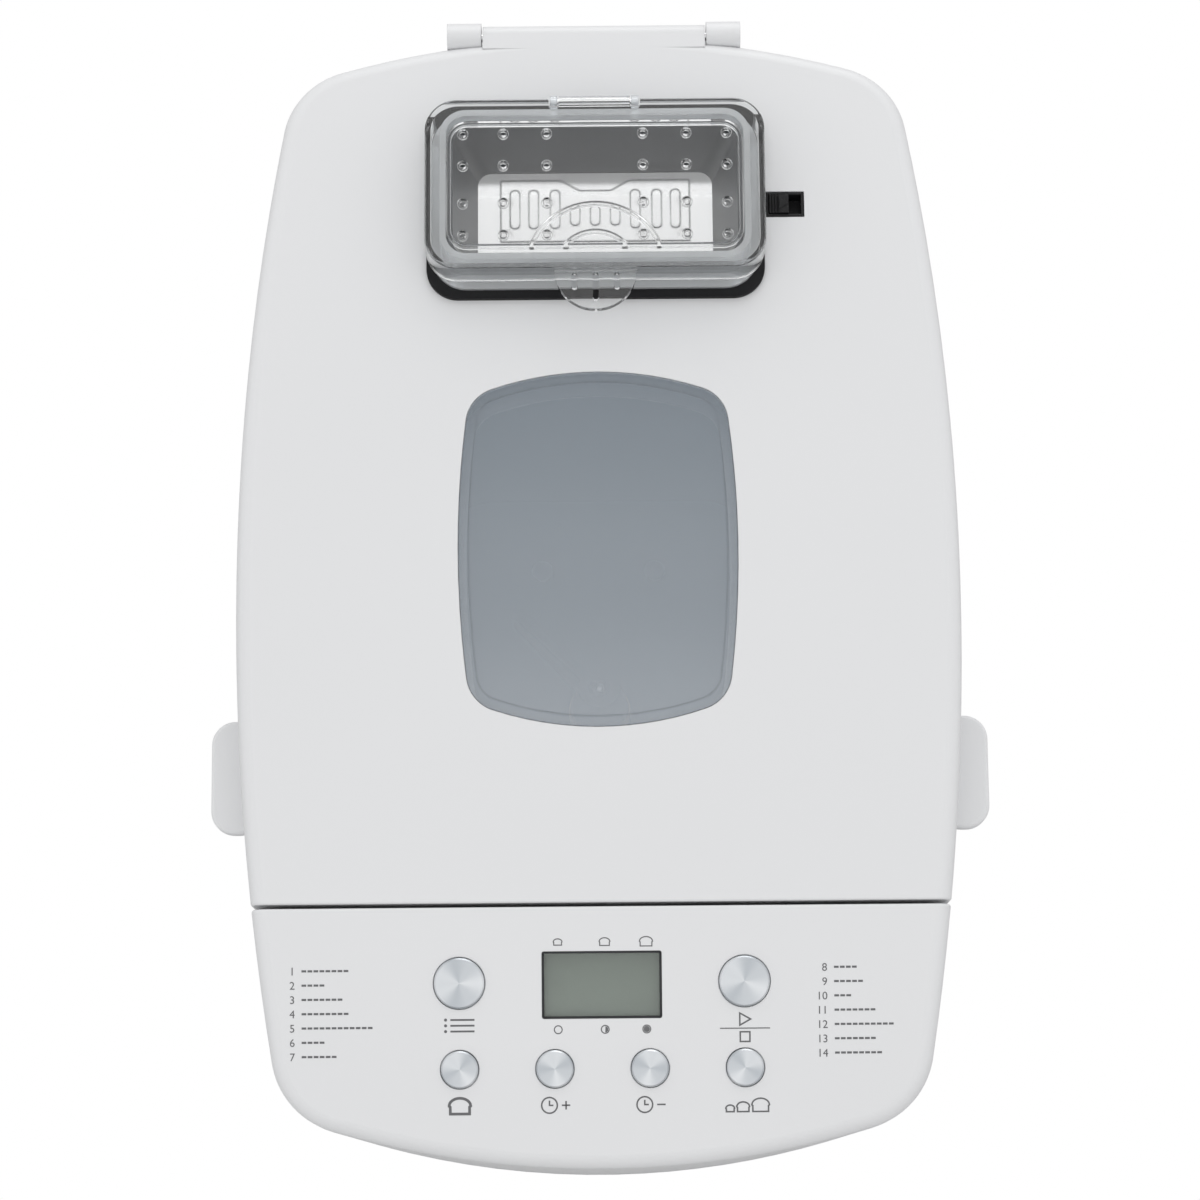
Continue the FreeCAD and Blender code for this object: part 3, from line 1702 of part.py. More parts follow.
def solenoid_plunger():
    y = crank_end()[0]
    z = plunger_z()
    x = plunger_x()
    yoke = block(x, (y - yoke_half, y + yoke_half), (z - yoke_height / 2, z + yoke_height / 2))
    wide = crank_pin_radius + yoke_slot_gap
    rise = crank_arm - (crank_end()[1] - flap_pin_z())
    tall = crank_pin_radius + rise + yoke_slot_gap
    slot = block(grow(x, yoke_thickness), (y - wide, y + wide), (z - tall, z + tall))
    middle = sum(x) / 2
    tip = vec(middle, solenoid_rear() - solenoid_front, z)
    stem = rod(plunger_radius, vec(middle, y - yoke_half, z), tip)
    return on_dispenser(join(trim(yoke, slot), stem))


def solenoid_rear():
    return crank_end()[0] - yoke_half - plunger_travel() - slip_gap


def dispenser_solenoid():
    x = sum(plunger_x()) / 2
    rear = solenoid_rear()
    body = block((x - solenoid_half, x + solenoid_half), (rear - solenoid_length, rear),
                 (solenoid_bottom, solenoid_top))
    z = plunger_z()
    bore = rod(plunger_radius + plunger_gap, vec(x, rear - solenoid_length - wall, z), vec(x, rear + wall, z))
    return on_dispenser(trim(body, bore))


# Cover
def cover_plan(inset):
    return (-cover_half + inset, cover_half - inset), (cover_front + inset, cover_rear - inset)


def cover_tray():
    low = cover_top - cover_plate - cover_skirt_drop
    x, y = cover_plan(0)
    body = plate(x, y, (low, cover_top), cover_corner)
    edges = [edge for edge in body.Edges if edge.BoundBox.ZMin > cover_top - seat_gap]
    body = body.makeFillet(cover_edge, edges)
    x, y = cover_plan(cover_skirt)
    inside = plate(x, y, (-span, cover_top - cover_plate), cover_corner - cover_skirt)
    rear = block((-span, span), (cover_rear - cover_rear_cut, span), (-span, cover_top - cover_plate))
    return trim(body, inside, rear)


def cover_rib():
    z = (cover_top - cover_plate - cover_rib_drop, cover_top - cover_edge)
    x, y = cover_plan(cover_rib_inset)
    outer = plate(x, y, z, cover_rib_corner)
    x, y = cover_plan(cover_rib_inset + cover_rib_width)
    return outer.cut(plate(x, y, z, cover_rib_corner - cover_rib_width))


def thumb_slots():
    """Three rounded slots through the thumb tab, the middle one longer."""
    half = thumb_slot_width / 2
    first = -(len(thumb_slot_lengths) - 1) / 2 * thumb_slot_pitch
    front = cover_front - thumb_slot_front
    slots = []
    for index, length in enumerate(thumb_slot_lengths):
        x = first + index * thumb_slot_pitch
        slots.append(plate((x - half, x + half), (front - length, front), (0, span), half - run_fit))
    return slots


def thumb_tab():
    disc = post(thumb_radius, 0, cover_front, (thumb_top - thumb_thickness, thumb_top))
    inside = block((-span, span), (cover_front + cover_skirt / 2, span), (-span, span))
    return trim(disc, inside, *thumb_slots())


def arch_rib(radius):
    """Arched rib under the cover, about the middle of its thumb tab."""
    z = (cover_top - cover_plate - cover_rib_drop, cover_top - cover_edge)
    body = ring(radius, radius - arch_width, 0, cover_front, z)
    x, y = cover_plan(cover_rib_inset + cover_rib_width / 2)
    return body.common(block(x, y, z))


def vent_places():
    middle = (cover_front + cover_rear) / 2
    return [(sx * x, middle + sy * y) for x in vent_columns for y in vent_rows
            for sx in (-1, 1) for sy in (-1, 1)]


def cover_barrel():
    x = (-cover_barrel_half, cover_barrel_half)
    return bar_x(cover_barrel_radius, x, cover_hinge_y(), cover_hinge_z)


def cover_notches():
    """Room in the cover's rear edge for the two ears of the rim."""
    front = cover_hinge_y() - cover_barrel_radius - cover_ear_gap
    return [block(grow(x, cover_ear_gap), (front, span), (0, span)) for x in cover_ear_spans()]


def dispenser_cover():
    under = cover_top - cover_plate
    bosses = [post(vent_boss, x, y, (under - vent_boss_drop, under + cover_plate / 2))
              for x, y in vent_places()]
    ribs = [cover_rib(), arch_rib(arch_radius), arch_rib(thumb_radius)]
    body = trim(join(cover_tray(), thumb_tab(), *ribs, *bosses), *cover_notches())
    body = join(body, cover_barrel())
    holes = [post(vent_hole, x, y, (0, cover_top + cover_plate)) for x, y in vent_places()]
    bore = bar_x(cover_pin_radius + run_fit, (-cover_half, cover_half), cover_hinge_y(), cover_hinge_z)
    return on_dispenser(trim(body, bore, *holes))


# Release slider beside the dispenser
def tongue(outset):
    return block((tongue_tip, release_x + release_length / 2),
                 (release_y - tongue_half - outset, release_y + tongue_half + outset),
                 (tongue_low - outset, tongue_high + outset))


def release_tray():
    x, y = release_span(0)
    body = block(x, y, (-release_depth, 0))
    x, y = release_span(release_wall)
    inside = block(x, y, (-release_depth + release_wall, span))
    return on_dispenser(trim(body, inside, tongue(slip_gap)))


def release_mark(x):
    """Raised triangle that points the way the slider goes."""
    half = release_mark_half
    corners = [vec(x[0], release_y - half, 0), vec(x[1], release_y, 0), vec(x[0], release_y + half, 0)]
    face = Part.Face(Part.makePolygon(corners + corners[:1]))
    return face.extrude(vec(0, 0, release_rise + release_mark_rise))


def release_slider():
    x, y = release_span(release_wall + release_gap)
    knob_x = (x[0], x[1] - release_travel)
    knob = block(knob_x, y, (-release_depth + release_wall + release_gap, release_rise))
    rib = release_grip / (2 * release_groove_count)
    grooves = []
    for index in range(release_groove_count):
        low = knob_x[0] + rib * (2 * index + 1)
        grooves.append(block((low, low + rib), grow(y, wall), (0, span)))
    mark = release_mark((knob_x[0] + release_grip + release_gap, knob_x[1] - release_gap))
    return on_dispenser(join(trim(knob, *grooves), tongue(0), mark))


PIECES = {
    "body_shell": body_shell,
    "base_tray": base_tray,
    "feet": feet,
    "cord_gland": cord_gland,
    "control_panel": control_panel,
    "chamber_deck": chamber_deck,
    "case_screws": case_screws,
    "hinge_pin": hinge_pin,
    "baking_chamber": baking_chamber,
    "heating_element": heating_element,
    "element_clips": element_clips,
    "temperature_probe": temperature_probe,
    "pan_socket": pan_socket,
    "chassis_plate": chassis_plate,
    "bearing_housing": bearing_housing,
    "motor": motor,
    "motor_capacitor": motor_capacitor,
    "power_board": power_board,
    "drive_belt": drive_belt,
    "control_board": control_board,
    "tact_switches": tact_switches,
    "lcd_module": lcd_module,
    "lcd_lens": lcd_lens,
    "lid_shell": lid_shell,
    "lid_frame": lid_frame,
    "lid_liner": lid_liner,
    "lid_screws": lid_screws,
    "window_outer": window_outer,
    "window_seal": window_seal,
    "window_inner": window_inner,
    "dispenser_gasket": dispenser_gasket,
    "dispenser_rim": dispenser_rim,
    "dispenser_hopper": dispenser_hopper,
    "dispenser_solenoid": dispenser_solenoid,
    "cover_pin": cover_pin,
    "release_tray": release_tray,
    "dispenser_cover": dispenser_cover,
    "dispenser_flap": dispenser_flap,
    "flap_pin": flap_pin,
    "flap_crank": flap_crank,
    "solenoid_plunger": solenoid_plunger,
    "release_slider": release_slider,
    "bread_pan": bread_pan,
    "pan_foot": pan_foot,
    "pan_rivets": pan_rivets,
    "pan_bush": pan_bush,
    "handle_lugs": handle_lugs,
    "pan_handle": pan_handle,
    "pan_shaft": pan_shaft,
    "kneading_blade": kneading_blade,
    "drive_shaft": drive_shaft,
    "driven_pulley": driven_pulley,
    "motor_shaft": motor_shaft,
    "motor_pulley": motor_pulley,
}


def main():
    os.makedirs("parts", exist_ok=True)
    for name, make in PIECES.items():
        make().exportStep("parts/" + name + ".step")
    for name, place in button_places().items():
        button(*place).exportStep("parts/" + name + ".step")


main()
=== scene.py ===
import bmesh
import bpy
import json
import math
from mathutils import Matrix, Vector
from mathutils.bvhtree import BVHTree


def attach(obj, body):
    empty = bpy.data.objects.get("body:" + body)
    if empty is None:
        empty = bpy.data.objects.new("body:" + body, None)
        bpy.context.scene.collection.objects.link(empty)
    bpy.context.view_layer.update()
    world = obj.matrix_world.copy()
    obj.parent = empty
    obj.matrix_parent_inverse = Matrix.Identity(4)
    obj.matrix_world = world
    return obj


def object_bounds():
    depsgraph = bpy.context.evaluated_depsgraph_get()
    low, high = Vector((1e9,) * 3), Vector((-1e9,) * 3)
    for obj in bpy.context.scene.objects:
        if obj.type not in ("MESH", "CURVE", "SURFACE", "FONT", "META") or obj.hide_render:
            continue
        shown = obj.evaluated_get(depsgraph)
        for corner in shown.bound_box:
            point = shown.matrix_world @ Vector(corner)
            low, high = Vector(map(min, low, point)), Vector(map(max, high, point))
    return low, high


# Looks of a bread machine: finishes for its CAD pieces, a shaft tip, the printed panel and the studio.
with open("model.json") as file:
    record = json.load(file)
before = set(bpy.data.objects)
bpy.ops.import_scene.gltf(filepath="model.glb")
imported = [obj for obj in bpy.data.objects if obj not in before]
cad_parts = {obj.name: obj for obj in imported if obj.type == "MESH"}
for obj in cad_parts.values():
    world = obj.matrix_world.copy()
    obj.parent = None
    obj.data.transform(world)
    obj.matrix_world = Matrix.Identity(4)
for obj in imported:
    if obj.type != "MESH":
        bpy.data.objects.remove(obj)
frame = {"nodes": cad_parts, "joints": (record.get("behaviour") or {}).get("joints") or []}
cad_low, cad_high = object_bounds()
nodes = frame["nodes"]
joints = {joint["name"]: joint for joint in frame["joints"]}
scene = bpy.context.scene

MM = 0.001

# Camera, standing where the photograph was taken from
camera_place = Vector((0.0005, -0.49727, 1.3516))
camera_pitch = 66.2
camera_roll = -0.498
camera_lens = 106.94
camera_sensor = 36.0

# Studio: brightness of the upper sky from front to rear, as (share of the way, strength)
sky_bands = ((0.0, 0.68), (0.28, 0.72), (0.335, 0.72), (0.39, 1.62), (0.46, 0.73), (0.53, 0.2), (0.6, 1.06),
             (0.72, 1.16), (1.0, 1.16))
sky_peak = 1.7
sky_edge = 0.94
sky_turn = (0.55, 0.8)
floor_half = 6.0
floor_drop = 0.2 * MM
key_place = Vector((0.3, 2.2, 1.6))
key_size = 1.6
key_power = 12.0
fill_place = Vector((-1.9, -1.2, 1.5))
fill_size = 1.6
fill_power = 1.8

# Panel print
ink_lift = 0.02 * MM
ink_thickness = 0.03 * MM
line = 0.5

# Directions of the control panel, from the joint that moves along it
across = Vector((1, 0, 0))
panel_normal = -Vector(joints["menu_press"]["axis"])
panel_up = panel_normal.cross(across)


# Node trees
def add(tree, kind, inputs=None, **settings):
    """New node with its inputs set to plain values or linked to other nodes' outputs."""
    node = tree.nodes.new(kind)
    for label, value in settings.items():
        setattr(node, label, value)
    for label, value in (inputs or {}).items():
        if isinstance(value, bpy.types.NodeSocket):
            tree.links.new(value, node.inputs[label])
        else:
            node.inputs[label].default_value = value
    return node


def sum_of(tree, operation, *values):
    node = tree.nodes.new("ShaderNodeMath")
    node.operation = operation
    for socket, value in zip(node.inputs, values):
        if isinstance(value, bpy.types.NodeSocket):
            tree.links.new(value, socket)
        else:
            socket.default_value = value
    return node.outputs[0]


def ramp(tree, value, low, high):
    """Takes a value from 0 to 1 to a range."""
    node = add(tree, "ShaderNodeMapRange", {"Value": value, "To Min": low, "To Max": high})
    return node.outputs["Result"]


def band(tree, value, start, end):
    """0 below start, 1 above end."""
    node = add(tree, "ShaderNodeMapRange", {"Value": value, "From Min": start, "From Max": end})
    return node.outputs["Result"]


def tint(tree, share, first, second):
    node = tree.nodes.new("ShaderNodeMix")
    node.data_type = "RGBA"
    tree.links.new(share, node.inputs[0])
    node.inputs[6].default_value = (*first, 1)
    node.inputs[7].default_value = (*second, 1)
    return node.outputs[2]


def new_group(name, inputs, outputs):
    tree = bpy.data.node_groups.new(name, "ShaderNodeTree")
    for label, kind, value in inputs:
        socket = tree.interface.new_socket(label, in_out="INPUT", socket_type="NodeSocket" + kind)
        socket.default_value = value
    for label, kind in outputs:
        tree.interface.new_socket(label, in_out="OUTPUT", socket_type="NodeSocket" + kind)
    enter = tree.nodes.new("NodeGroupInput")
    leave = tree.nodes.new("NodeGroupOutput")
    return tree, enter.outputs, leave.inputs


def fill_group(tree, group, values):
    node = add(tree, "ShaderNodeGroup", None, node_tree=group)
    for label, value in values.items():
        node.inputs[label].default_value = value
    return node


def make_moulded_grain():
    """Fine grain of a moulded surface, and a slow drift over the whole piece."""
    tree, given, out = new_group(
        "moulded_grain",
        [("Grain", "Float", 2400.0), ("Drift", "Float", 9.0)],
        [("Height", "Float"), ("Drift", "Float")])
    place = tree.nodes.new("ShaderNodeTexCoord").outputs["Object"]
    grain = add(tree, "ShaderNodeTexNoise", {"Vector": place, "Scale": given["Grain"], "Detail": 2.0})
    drift = add(tree, "ShaderNodeTexNoise", {"Vector": place, "Scale": given["Drift"], "Detail": 1.0})
    tree.links.new(grain.outputs["Fac"], out["Height"])
    tree.links.new(drift.outputs["Fac"], out["Drift"])
    return tree


def make_soft_edge():
    """Rounded normal near sharp edges, and a mask of those edges."""
    tree, given, out = new_group(
        "soft_edge", [("Radius", "Float", 0.4 * MM)], [("Normal", "Vector"), ("Edge", "Float")])
    round_normal = add(tree, "ShaderNodeBevel", {"Radius": given["Radius"]}, samples=4).outputs[0]
    plain_normal = tree.nodes.new("ShaderNodeNewGeometry").outputs["Normal"]
    turn = tree.nodes.new("ShaderNodeVectorMath")
    turn.operation = "DOT_PRODUCT"
    tree.links.new(round_normal, turn.inputs[0])
    tree.links.new(plain_normal, turn.inputs[1])
    edge = sum_of(tree, "SUBTRACT", 1.0, turn.outputs["Value"])
    tree.links.new(round_normal, out["Normal"])
    tree.links.new(sum_of(tree, "MINIMUM", sum_of(tree, "MULTIPLY", edge, 6.0), 1.0), out["Edge"])
    return tree


def make_brushed_lines():
    """Fine lines drawn out along one direction."""
    tree, given, out = new_group(
        "brushed_lines", [("Stretch", "Vector", (40.0, 3000.0, 3000.0))],
        [("Height", "Float"), ("Streak", "Float")])
    place = tree.nodes.new("ShaderNodeTexCoord").outputs["Object"]
    drawn = tree.nodes.new("ShaderNodeVectorMath")
    drawn.operation = "MULTIPLY"
    tree.links.new(place, drawn.inputs[0])
    tree.links.new(given["Stretch"], drawn.inputs[1])
    lines = add(tree, "ShaderNodeTexNoise", {"Vector": drawn.outputs[0], "Scale": 1.0, "Detail": 3.0})
    broad = add(tree, "ShaderNodeTexNoise", {"Vector": drawn.outputs[0], "Scale": 0.12, "Detail": 1.0})
    tree.links.new(lines.outputs["Fac"], out["Height"])
    tree.links.new(broad.outputs["Fac"], out["Streak"])
    return tree


def make_spun_rings():
    """Turned rings round a centre on the panel, and a painted reflection: light and dark sectors by angle,
    standing in for the highlights that turned metal shows.
    """
    tree, given, out = new_group(
        "spun_rings", [("Centre", "Vector", (0, 0, 0)), ("Turn", "Float", 0.0)],
        [("Height", "Float"), ("Painted Fan", "Float")])
    place = tree.nodes.new("ShaderNodeTexCoord").outputs["Object"]
    step = tree.nodes.new("ShaderNodeVectorMath")
    step.operation = "SUBTRACT"
    tree.links.new(place, step.inputs[0])
    tree.links.new(given["Centre"], step.inputs[1])
    sides = []
    for direction in (across, panel_up):
        part = tree.nodes.new("ShaderNodeVectorMath")
        part.operation = "DOT_PRODUCT"
        tree.links.new(step.outputs[0], part.inputs[0])
        part.inputs[1].default_value = direction
        sides.append(part.outputs["Value"])
    squares = [sum_of(tree, "MULTIPLY", side, side) for side in sides]
    radius = sum_of(tree, "SQRT", sum_of(tree, "ADD", *squares))
    angle = sum_of(tree, "ADD", sum_of(tree, "ARCTAN2", sides[1], sides[0]), given["Turn"])
    rings = add(tree, "ShaderNodeTexNoise", {"W": sum_of(tree, "MULTIPLY", radius, 9000.0), "Scale": 1.0,
                                             "Detail": 2.0}, noise_dimensions="1D")
    # Painted reflection: light and dark sectors by angle round the button's middle, later put into the
    # colour.
    wave = sum_of(tree, "COSINE", sum_of(tree, "MULTIPLY", angle, 2.0))
    ripple = sum_of(tree, "MULTIPLY", sum_of(tree, "COSINE", sum_of(tree, "MULTIPLY", angle, 5.0)), 0.35)
    painted_fan = sum_of(tree, "ADD", 0.5, sum_of(tree, "MULTIPLY", sum_of(tree, "ADD", wave, ripple), 0.37))
    tree.links.new(rings.outputs["Fac"], out["Height"])
    tree.links.new(painted_fan, out["Painted Fan"])
    return tree


moulded_grain = make_moulded_grain()
soft_edge = make_soft_edge()
brushed_lines = make_brushed_lines()
spun_rings = make_spun_rings()


# Finishes
def start_finish(name):
    material = bpy.data.materials.new(name)
    material.use_nodes = True
    return material, material.node_tree, material.node_tree.nodes["Principled BSDF"]


def set_plain(shader, **values):
    for label, value in values.items():
        shader.inputs[label.replace("_", " ").title().replace("Ior", "IOR")].default_value = value


def bumped(tree, shader, height, depth, edge):
    """Bump of a height over edges rounded by the soft_edge group."""
    rounded = fill_group(tree, soft_edge, {"Radius": edge})
    bump = add(tree, "ShaderNodeBump", {"Height": height, "Normal": rounded.outputs["Normal"],
                                        "Strength": 1.0, "Distance": depth})
    tree.links.new(bump.outputs["Normal"], shader.inputs["Normal"])
    return rounded.outputs["Edge"]


def moulded(name, light, dark, rough, depth=0.004 * MM, grain=2400.0, edge=0.4 * MM, **plain):
    """Moulded plastic or rubber: grain, a slow drift of shade and slightly polished edges."""
    material, tree, shader = start_finish(name)
    grains = fill_group(tree, moulded_grain, {"Grain": grain})
    worn = bumped(tree, shader, grains.outputs["Height"], depth, edge)
    tree.links.new(tint(tree, grains.outputs["Drift"], dark, light), shader.inputs["Base Color"])
    even = ramp(tree, grains.outputs["Height"], rough * 0.9, rough * 1.1)
    polished = sum_of(tree, "SUBTRACT", even, sum_of(tree, "MULTIPLY", worn, rough * 0.3))
    tree.links.new(polished, shader.inputs["Roughness"])
    set_plain(shader, **plain)
    return material


def brushed(name, light, dark, rough, stretch, depth=0.006 * MM, edge=0.3 * MM):
    """Sheet or bar metal with drawn lines."""
    material, tree, shader = start_finish(name)
    lines = fill_group(tree, brushed_lines, {"Stretch": stretch})
    worn = bumped(tree, shader, lines.outputs["Height"], depth, edge)
    tree.links.new(tint(tree, lines.outputs["Streak"], dark, light), shader.inputs["Base Color"])
    even = ramp(tree, lines.outputs["Height"], rough * 0.75, rough * 1.25)
    tree.links.new(sum_of(tree, "SUBTRACT", even, sum_of(tree, "MULTIPLY", worn, rough * 0.3)),
                   shader.inputs["Roughness"])
    set_plain(shader, metallic=1.0)
    return material


def spun(name, centre, turn):
    """Turned button cap, with a painted reflection: light and dark sectors in its colour."""
    material, tree, shader = start_finish(name)
    rings = fill_group(tree, spun_rings, {"Centre": centre, "Turn": turn})
    bumped(tree, shader, rings.outputs["Height"], 0.003 * MM, 0.25 * MM)
    # Painted reflection: the dark and light sectors of the cap's colour stand in for highlights on turned
    # metal.
    painted_fan = tint(tree, rings.outputs["Painted Fan"], (0.47, 0.5, 0.53), (0.71, 0.73, 0.75))
    tree.links.new(painted_fan, shader.inputs["Base Color"])
    tree.links.new(ramp(tree, rings.outputs["Height"], 0.27, 0.37), shader.inputs["Roughness"])
    set_plain(shader, metallic=1.0)
    return material


def clear(name, colour, rough, ior, through=1.0):
    """Clear plastic or glass that lets the lamps shine in."""
    material, tree, shader = start_finish(name)
    grains = fill_group(tree, moulded_grain, {"Grain": 300.0})
    bumped(tree, shader, grains.outputs["Drift"], 0.02 * MM, 0.35 * MM)
    tree.links.new(ramp(tree, grains.outputs["Drift"], rough * 0.7, rough * 1.3), shader.inputs["Roughness"])
    shader.inputs["Base Color"].default_value = (*colour, 1)
    set_plain(shader, transmission_weight=through, ior=ior)
    open_way = add(tree, "ShaderNodeBsdfTransparent", {"Color": (*colour, 1)})
    path = tree.nodes.new("ShaderNodeLightPath")
    both = tree.nodes.new("ShaderNodeMixShader")
    tree.links.new(path.outputs["Is Shadow Ray"], both.inputs[0])
    tree.links.new(shader.outputs[0], both.inputs[1])
    tree.links.new(open_way.outputs[0], both.inputs[2])
    tree.links.new(both.outputs[0], tree.nodes["Material Output"].inputs["Surface"])
    return material


def smoked(name, light, dark, alpha, ior=1.5):
    """Grey tinted pane that still shows a little of what lies behind."""
    material, tree, shader = start_finish(name)
    grains = fill_group(tree, moulded_grain, {"Grain": 1200.0, "Drift": 14.0})
    bumped(tree, shader, grains.outputs["Height"], 0.001 * MM, 0.3 * MM)
    tree.links.new(tint(tree, grains.outputs["Drift"], dark, light), shader.inputs["Base Color"])
    tree.links.new(ramp(tree, grains.outputs["Height"], 0.05, 0.09), shader.inputs["Roughness"])
    set_plain(shader, alpha=alpha, specular_ior_level=0.9, ior=ior)
    return material


def speckled(name, ground, fleck, rough):
    """Non-stick coating with fine pale flecks."""
    material, tree, shader = start_finish(name)
    grains = fill_group(tree, moulded_grain, {"Grain": 1500.0})
    bumped(tree, shader, grains.outputs["Height"], 0.01 * MM, 0.5 * MM)
    flecks = band(tree, grains.outputs["Height"], 0.62, 0.7)
    tree.links.new(tint(tree, flecks, ground, fleck), shader.inputs["Base Color"])
    even = ramp(tree, grains.outputs["Drift"], rough * 0.85, rough * 1.15)
    tree.links.new(even, shader.inputs["Roughness"])
    return material


def dress(material, *names):
    for name in names:
        slots = nodes[name].data.materials
        slots.clear()
        slots.append(material)


def crown_of(name):
    """Middle of a button's top face."""
    corners = [vertex.co for vertex in nodes[name].data.vertices]
    top = max(corner.dot(panel_normal) for corner in corners)
    face = [corner for corner in corners if top - corner.dot(panel_normal) < 0.05 * MM]
    low = Vector([min(corner[axis] for corner in face) for axis in range(3)])
    high = Vector([max(corner[axis] for corner in face) for axis in range(3)])
    return (low + high) / 2


pressed_join = 0.005 * MM
pressed_width = 0.55 * MM
pressed_segments = 3
pressed_angle = 40.0


def round_pressing(name):
    """Rounds the edges of a sheet-metal pressing, as a press leaves them."""
    piece = nodes[name]
    weld = piece.modifiers.new("joined_corners", "WELD")
    weld.merge_threshold = pressed_join
    bend = piece.modifiers.new("pressed_edges", "BEVEL")
    bend.width = pressed_width
    bend.segments = pressed_segments
    bend.limit_method = "ANGLE"
    bend.angle_limit = math.radians(pressed_angle)


button_names = ["menu_button", "start_button", "crust_button", "time_up_button", "time_down_button",
                "size_button"]
buttons = {name: crown_of(name) for name in button_names}


def dress_machine():
    white = moulded("white_case", (0.735, 0.74, 0.75), (0.715, 0.72, 0.73), 0.36, 0.003 * MM)
    dress(white, "body_shell", "control_panel", "lid_shell", "lid_frame")
    grey = moulded("grey_underside", (0.3, 0.3, 0.31), (0.27, 0.27, 0.28), 0.55, 0.012 * MM, 1500.0)
    dress(grey, "base_tray", "chamber_deck")
    black = moulded("black_trim", (0.011, 0.011, 0.012), (0.008, 0.008, 0.009), 0.5, 0.006 * MM,
                    specular_ior_level=0.3)
    dress(black, "cord_gland", "release_tray", "release_slider", "tact_switches")
    rubber = moulded("black_rubber", (0.011, 0.011, 0.012), (0.008, 0.008, 0.009), 0.6, 0.01 * MM, 1800.0,
                     specular_ior_level=0.2)
    dress(rubber, "feet", "dispenser_gasket", "window_seal", "drive_belt")
    dark = moulded("dark_hopper", (0.079, 0.084, 0.091), (0.068, 0.073, 0.08), 0.3, 0.004 * MM)
    dress(dark, "dispenser_hopper", "driven_pulley", "motor_capacitor")
    sheet = brushed("sheet_steel", (0.74, 0.74, 0.74), (0.6, 0.6, 0.61), 0.32, (30.0, 2600.0, 2600.0))
    dress(sheet, "baking_chamber", "lid_liner", "pan_socket", "element_clips", "handle_lugs")
    zinc = brushed("zinc_steel", (0.46, 0.47, 0.49), (0.36, 0.37, 0.39), 0.45, (900.0, 900.0, 60.0))
    dress(zinc, "chassis_plate", "bearing_housing", "motor", "dispenser_solenoid")
    bright = brushed("bright_steel", (0.9, 0.9, 0.9), (0.8, 0.8, 0.81), 0.16, (1500.0, 1500.0, 1500.0),
                     0.002 * MM)
    dress(bright, "case_screws", "hinge_pin", "temperature_probe", "lid_screws", "cover_pin", "flap_pin",
          "flap_crank", "solenoid_plunger", "pan_handle", "pan_shaft", "drive_shaft", "motor_shaft")
    make_shaft_tip(bright)
    alloy = brushed("turned_alloy", (0.72, 0.73, 0.74), (0.6, 0.61, 0.62), 0.3, (1200.0, 1200.0, 200.0))
    dress(alloy, "pan_foot", "pan_rivets", "motor_pulley")
    bronze = brushed("bronze_bush", (0.62, 0.44, 0.24), (0.5, 0.34, 0.18), 0.34, (1500.0, 1500.0, 300.0))
    dress(bronze, "pan_bush")
    sheath = brushed("heater_sheath", (0.22, 0.2, 0.19), (0.13, 0.12, 0.12), 0.5, (500.0, 500.0, 500.0))
    dress(sheath, "heating_element")
    coating = speckled("pan_coating", (0.035, 0.036, 0.038), (0.09, 0.09, 0.092), 0.42)
    dress(coating, "bread_pan", "kneading_blade")
    board = moulded("board_lacquer", (0.02, 0.12, 0.05), (0.012, 0.09, 0.035), 0.35, 0.004 * MM, 900.0)
    dress(board, "power_board", "control_board")
    display = moulded("display_film", (0.25, 0.294, 0.254), (0.23, 0.274, 0.235), 0.4, 0.002 * MM)
    dress(display, "lcd_module")
    plastic = clear("clear_plastic", (0.985, 0.99, 0.99), 0.012, 1.49)
    dress(plastic, "dispenser_cover", "lcd_lens")
    # Partly white diffuse plastic: a painted reflection, standing in for the light that the clear rim carries
    # by refraction and internal reflection.
    rim_painted_reflection = clear("rim_painted_reflection_plastic", (0.86, 0.88, 0.9), 0.03, 1.49, 0.6)
    dress(rim_painted_reflection, "dispenser_rim")
    glass = smoked("inner_glass", (0.4, 0.44, 0.44), (0.36, 0.4, 0.4), 0.06)
    dress(glass, "window_inner")
    pane = smoked("smoked_pane", (0.425, 0.485, 0.545), (0.4, 0.455, 0.515), 0.42, 1.9)
    dress(pane, "window_outer")
    steel = brushed("pressed_steel", (0.94, 0.94, 0.94), (0.86, 0.86, 0.87), 0.11, (1200.0, 60.0, 60.0),
                    0.002 * MM, 0.9 * MM)
    dress(steel, "dispenser_flap")
    round_pressing("dispenser_flap")
    for index, (name, centre) in enumerate(buttons.items()):
        dress(spun(name + "_cap", centre, 0.45 * index), name)


# Print on the control panel, and painted shade round the display
def surface_of(name):
    mesh = nodes[name].data
    return BVHTree.FromPolygons([vertex.co for vertex in mesh.vertices],
                                [face.vertices for face in mesh.polygons])


def sheet_on(name, middle, up, body):
    """A piece's upper face to print on, measured from its middle, with the way up and the body it rides."""
    return {"surface": surface_of(name), "middle": middle, "up": up, "normal": across.cross(up), "body": body}


def sheet_place(sheet, u, v):
    """Point on a sheet, u to the right and v up the slope in millimetres from its middle."""
    start = sheet["middle"] + (across * u + sheet["up"] * v + sheet["normal"] * 20) * MM
    hit = sheet["surface"].ray_cast(start, -sheet["normal"])[0]
    return hit + sheet["normal"] * ink_lift


panel_middle = (buttons["menu_button"] + buttons["start_button"]) / 2
panel_sheet = sheet_on("control_panel", panel_middle, panel_up, "housing")


def panel_spot(name):
    """A button's place in the panel's own millimetres."""
    step = (buttons[name] - panel_middle) / MM
    return step.dot(across), step.dot(panel_up)


def disc(u, v, radius, start=0.0, end=360.0):
    steps = 28
    turns = [math.radians(start + (end - start) * step / steps) for step in range(steps)]
    return [(u + radius * math.cos(turn), v + radius * math.sin(turn)) for turn in turns]


